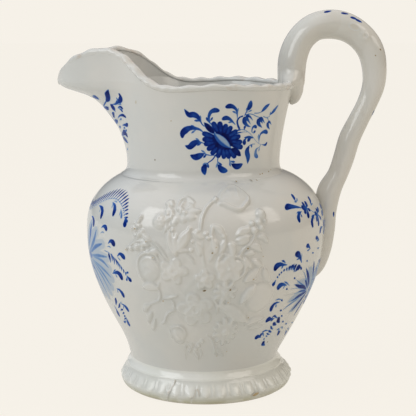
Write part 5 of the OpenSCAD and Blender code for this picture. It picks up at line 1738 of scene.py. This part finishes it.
def make_camera():
    """A camera in front of the jug, looking a little down."""
    data = bpy.data.cameras.new("camera")
    data.sensor_width = 36
    data.lens = 100.0
    camera = bpy.data.objects.new("camera", data)
    bpy.context.scene.collection.objects.link(camera)
    pitch, roll = math.radians(CAMERA_PITCH), math.radians(CAMERA_ROLL)
    forward = Vector((0, math.cos(pitch), -math.sin(pitch)))
    up = Vector((0, math.sin(pitch), math.cos(pitch)))
    right = Vector((1, 0, 0))
    tilted_right = right * math.cos(roll) - up * math.sin(roll)
    tilted_up = right * math.sin(roll) + up * math.cos(roll)
    turn = Matrix((tilted_right, tilted_up, -forward)).transposed()
    camera.matrix_world = Matrix.Translation(CAMERA_PLACE) @ turn.to_4x4()
    bpy.context.scene.camera = camera


def area_light(name, place, target, size, power, colour):
    data = bpy.data.lights.new(name, "AREA")
    data.shape = "RECTANGLE"
    data.size, data.size_y = size
    data.energy = power
    data.color = colour
    light = bpy.data.objects.new(name, data)
    light.location = place
    light.rotation_euler = (Vector(target) - Vector(place)).to_track_quat("-Z", "Y").to_euler()
    bpy.context.scene.collection.objects.link(light)


CREAM = (0.922, 0.880, 0.807)


def seen_by_camera(tree, dim, bright):
    """Mixes two shaders: bright where the camera looks at it, dim as a source of light."""
    path = tree.nodes.new("ShaderNodeLightPath")
    mix = tree.nodes.new("ShaderNodeMixShader")
    tree.links.new(path.outputs["Is Camera Ray"], mix.inputs["Fac"])
    tree.links.new(dim, mix.inputs[1])
    tree.links.new(bright, mix.inputs[2])
    return mix.outputs["Shader"]


def make_world():
    """A room that is cool and bright on the left, warm and dim on the right, and dark
    behind the camera. The camera itself sees plain paper."""
    n = Nodes("studio", "worlds")
    split = n.add("ShaderNodeSeparateXYZ")
    n.link(n.add("ShaderNodeTexCoord").outputs["Generated"], split.inputs["Vector"])
    side = n.span(split.outputs["X"], -0.8, 0.8)
    up = n.span(split.outputs["Z"], 0.0, 0.9, 0.43, 2.25)
    back = n.span(split.outputs["Y"], -1.0, 0.3, 0.70, 1.1)
    walls = [(0.0, (0.42, 0.44, 0.465)), (0.5, (0.37, 0.36, 0.355)), (1.0, (0.30, 0.265, 0.22))]
    room = n.tree.nodes["Background"]
    n.link(n.ramp(side, walls), room.inputs["Color"])
    n.link(n.math("MULTIPLY", up, back), room.inputs["Strength"])
    paper = n.add("ShaderNodeBackground", Color=(*CREAM, 1))
    shader = seen_by_camera(n.tree, room.outputs[0], paper.outputs[0])
    n.link(shader, n.tree.nodes["World Output"].inputs["Surface"])
    bpy.context.scene.world = n.material


def make_light():
    """One wide window high on the left and a fainter, warmer one on the right."""
    centre = (0, 0, 0.075)
    area_light("window_left", (-0.55, -0.36, 0.50), centre, (0.40, 0.52), 1.5, (0.97, 0.99, 1))
    area_light("window_right", (0.52, -0.30, 0.48), centre, (0.46, 0.36), 0.9, (1, 0.93, 0.87))


def make_floor():
    """A plain pale floor that runs into the background of the same colour."""
    mesh = bpy.data.meshes.new("floor")
    s = 9.0
    mesh.from_pydata([(-s, -s, 0), (s, -s, 0), (s, s, 0), (-s, s, 0)], [], [(0, 1, 2, 3)])
    floor = bpy.data.objects.new("floor", mesh)
    bpy.context.scene.collection.objects.link(floor)
    n = Nodes("floor_paper")
    place = n.place()
    grain = n.span(n.noise(place, 40, 3), 0.3, 0.7)
    n.link(n.mix(grain, (0.42, 0.41, 0.38), (0.44, 0.43, 0.40)), n.shader.inputs["Base Color"])
    n.finish(Roughness=0.95, Specular_IOR_Level=0.0)
    side = n.span(n.axis(place, "X"), -0.3, 0.3)
    glow = n.add("ShaderNodeEmission")
    n.link(n.mix(side, (0.39, 0.39, 0.385), (0.31, 0.28, 0.225)), glow.inputs["Color"])
    soft = n.add("ShaderNodeBsdfDiffuse", Color=(0.05, 0.048, 0.044, 1))
    paper = n.add("ShaderNodeEmission", Color=(*CREAM, 1), Strength=0.957)
    sums = []
    for first, second in ((n.shader, glow), (soft, paper)):
        both = n.add("ShaderNodeAddShader")
        n.link(first.outputs[0], both.inputs[0])
        n.link(second.outputs[0], both.inputs[1])
        sums.append(both.outputs[0])
    out = n.tree.nodes["Material Output"]
    n.link(seen_by_camera(n.tree, *sums), out.inputs["Surface"])
    mesh.materials.append(n.material)


def main():
    body = glaze("body_glaze")
    # The foot's glaze is lighter than the body's, as painted light on the foot.
    foot = glaze("foot_glaze_painted_light", (0.88, 0.885, 0.84), (0.86, 0.875, 0.815), foot=True)
    make_foot(foot)
    make_foot_border(foot)
    make_base_disc(body)
    make_belly(body)
    neck = glaze("neck_glaze")
    make_neck(neck)
    make_spout(neck)
    make_rim(glaze("rim_glaze", worn=0.55))
    branch = glaze("branch_glaze", (0.73, 0.71, 0.66), (0.69, 0.68, 0.63), worn=0.12)
    make_handle(branch)
    make_relief(glaze("relief_glaze", (0.76, 0.75, 0.71)))
    make_paintings(glaze("cobalt_paint", paint=COBALT))
    make_blemishes(glaze("rusty_marks", paint=RUST))
    make_camera()
    make_world()
    make_light()
    make_floor()
    bpy.context.scene.view_settings.view_transform = "Standard"


main()
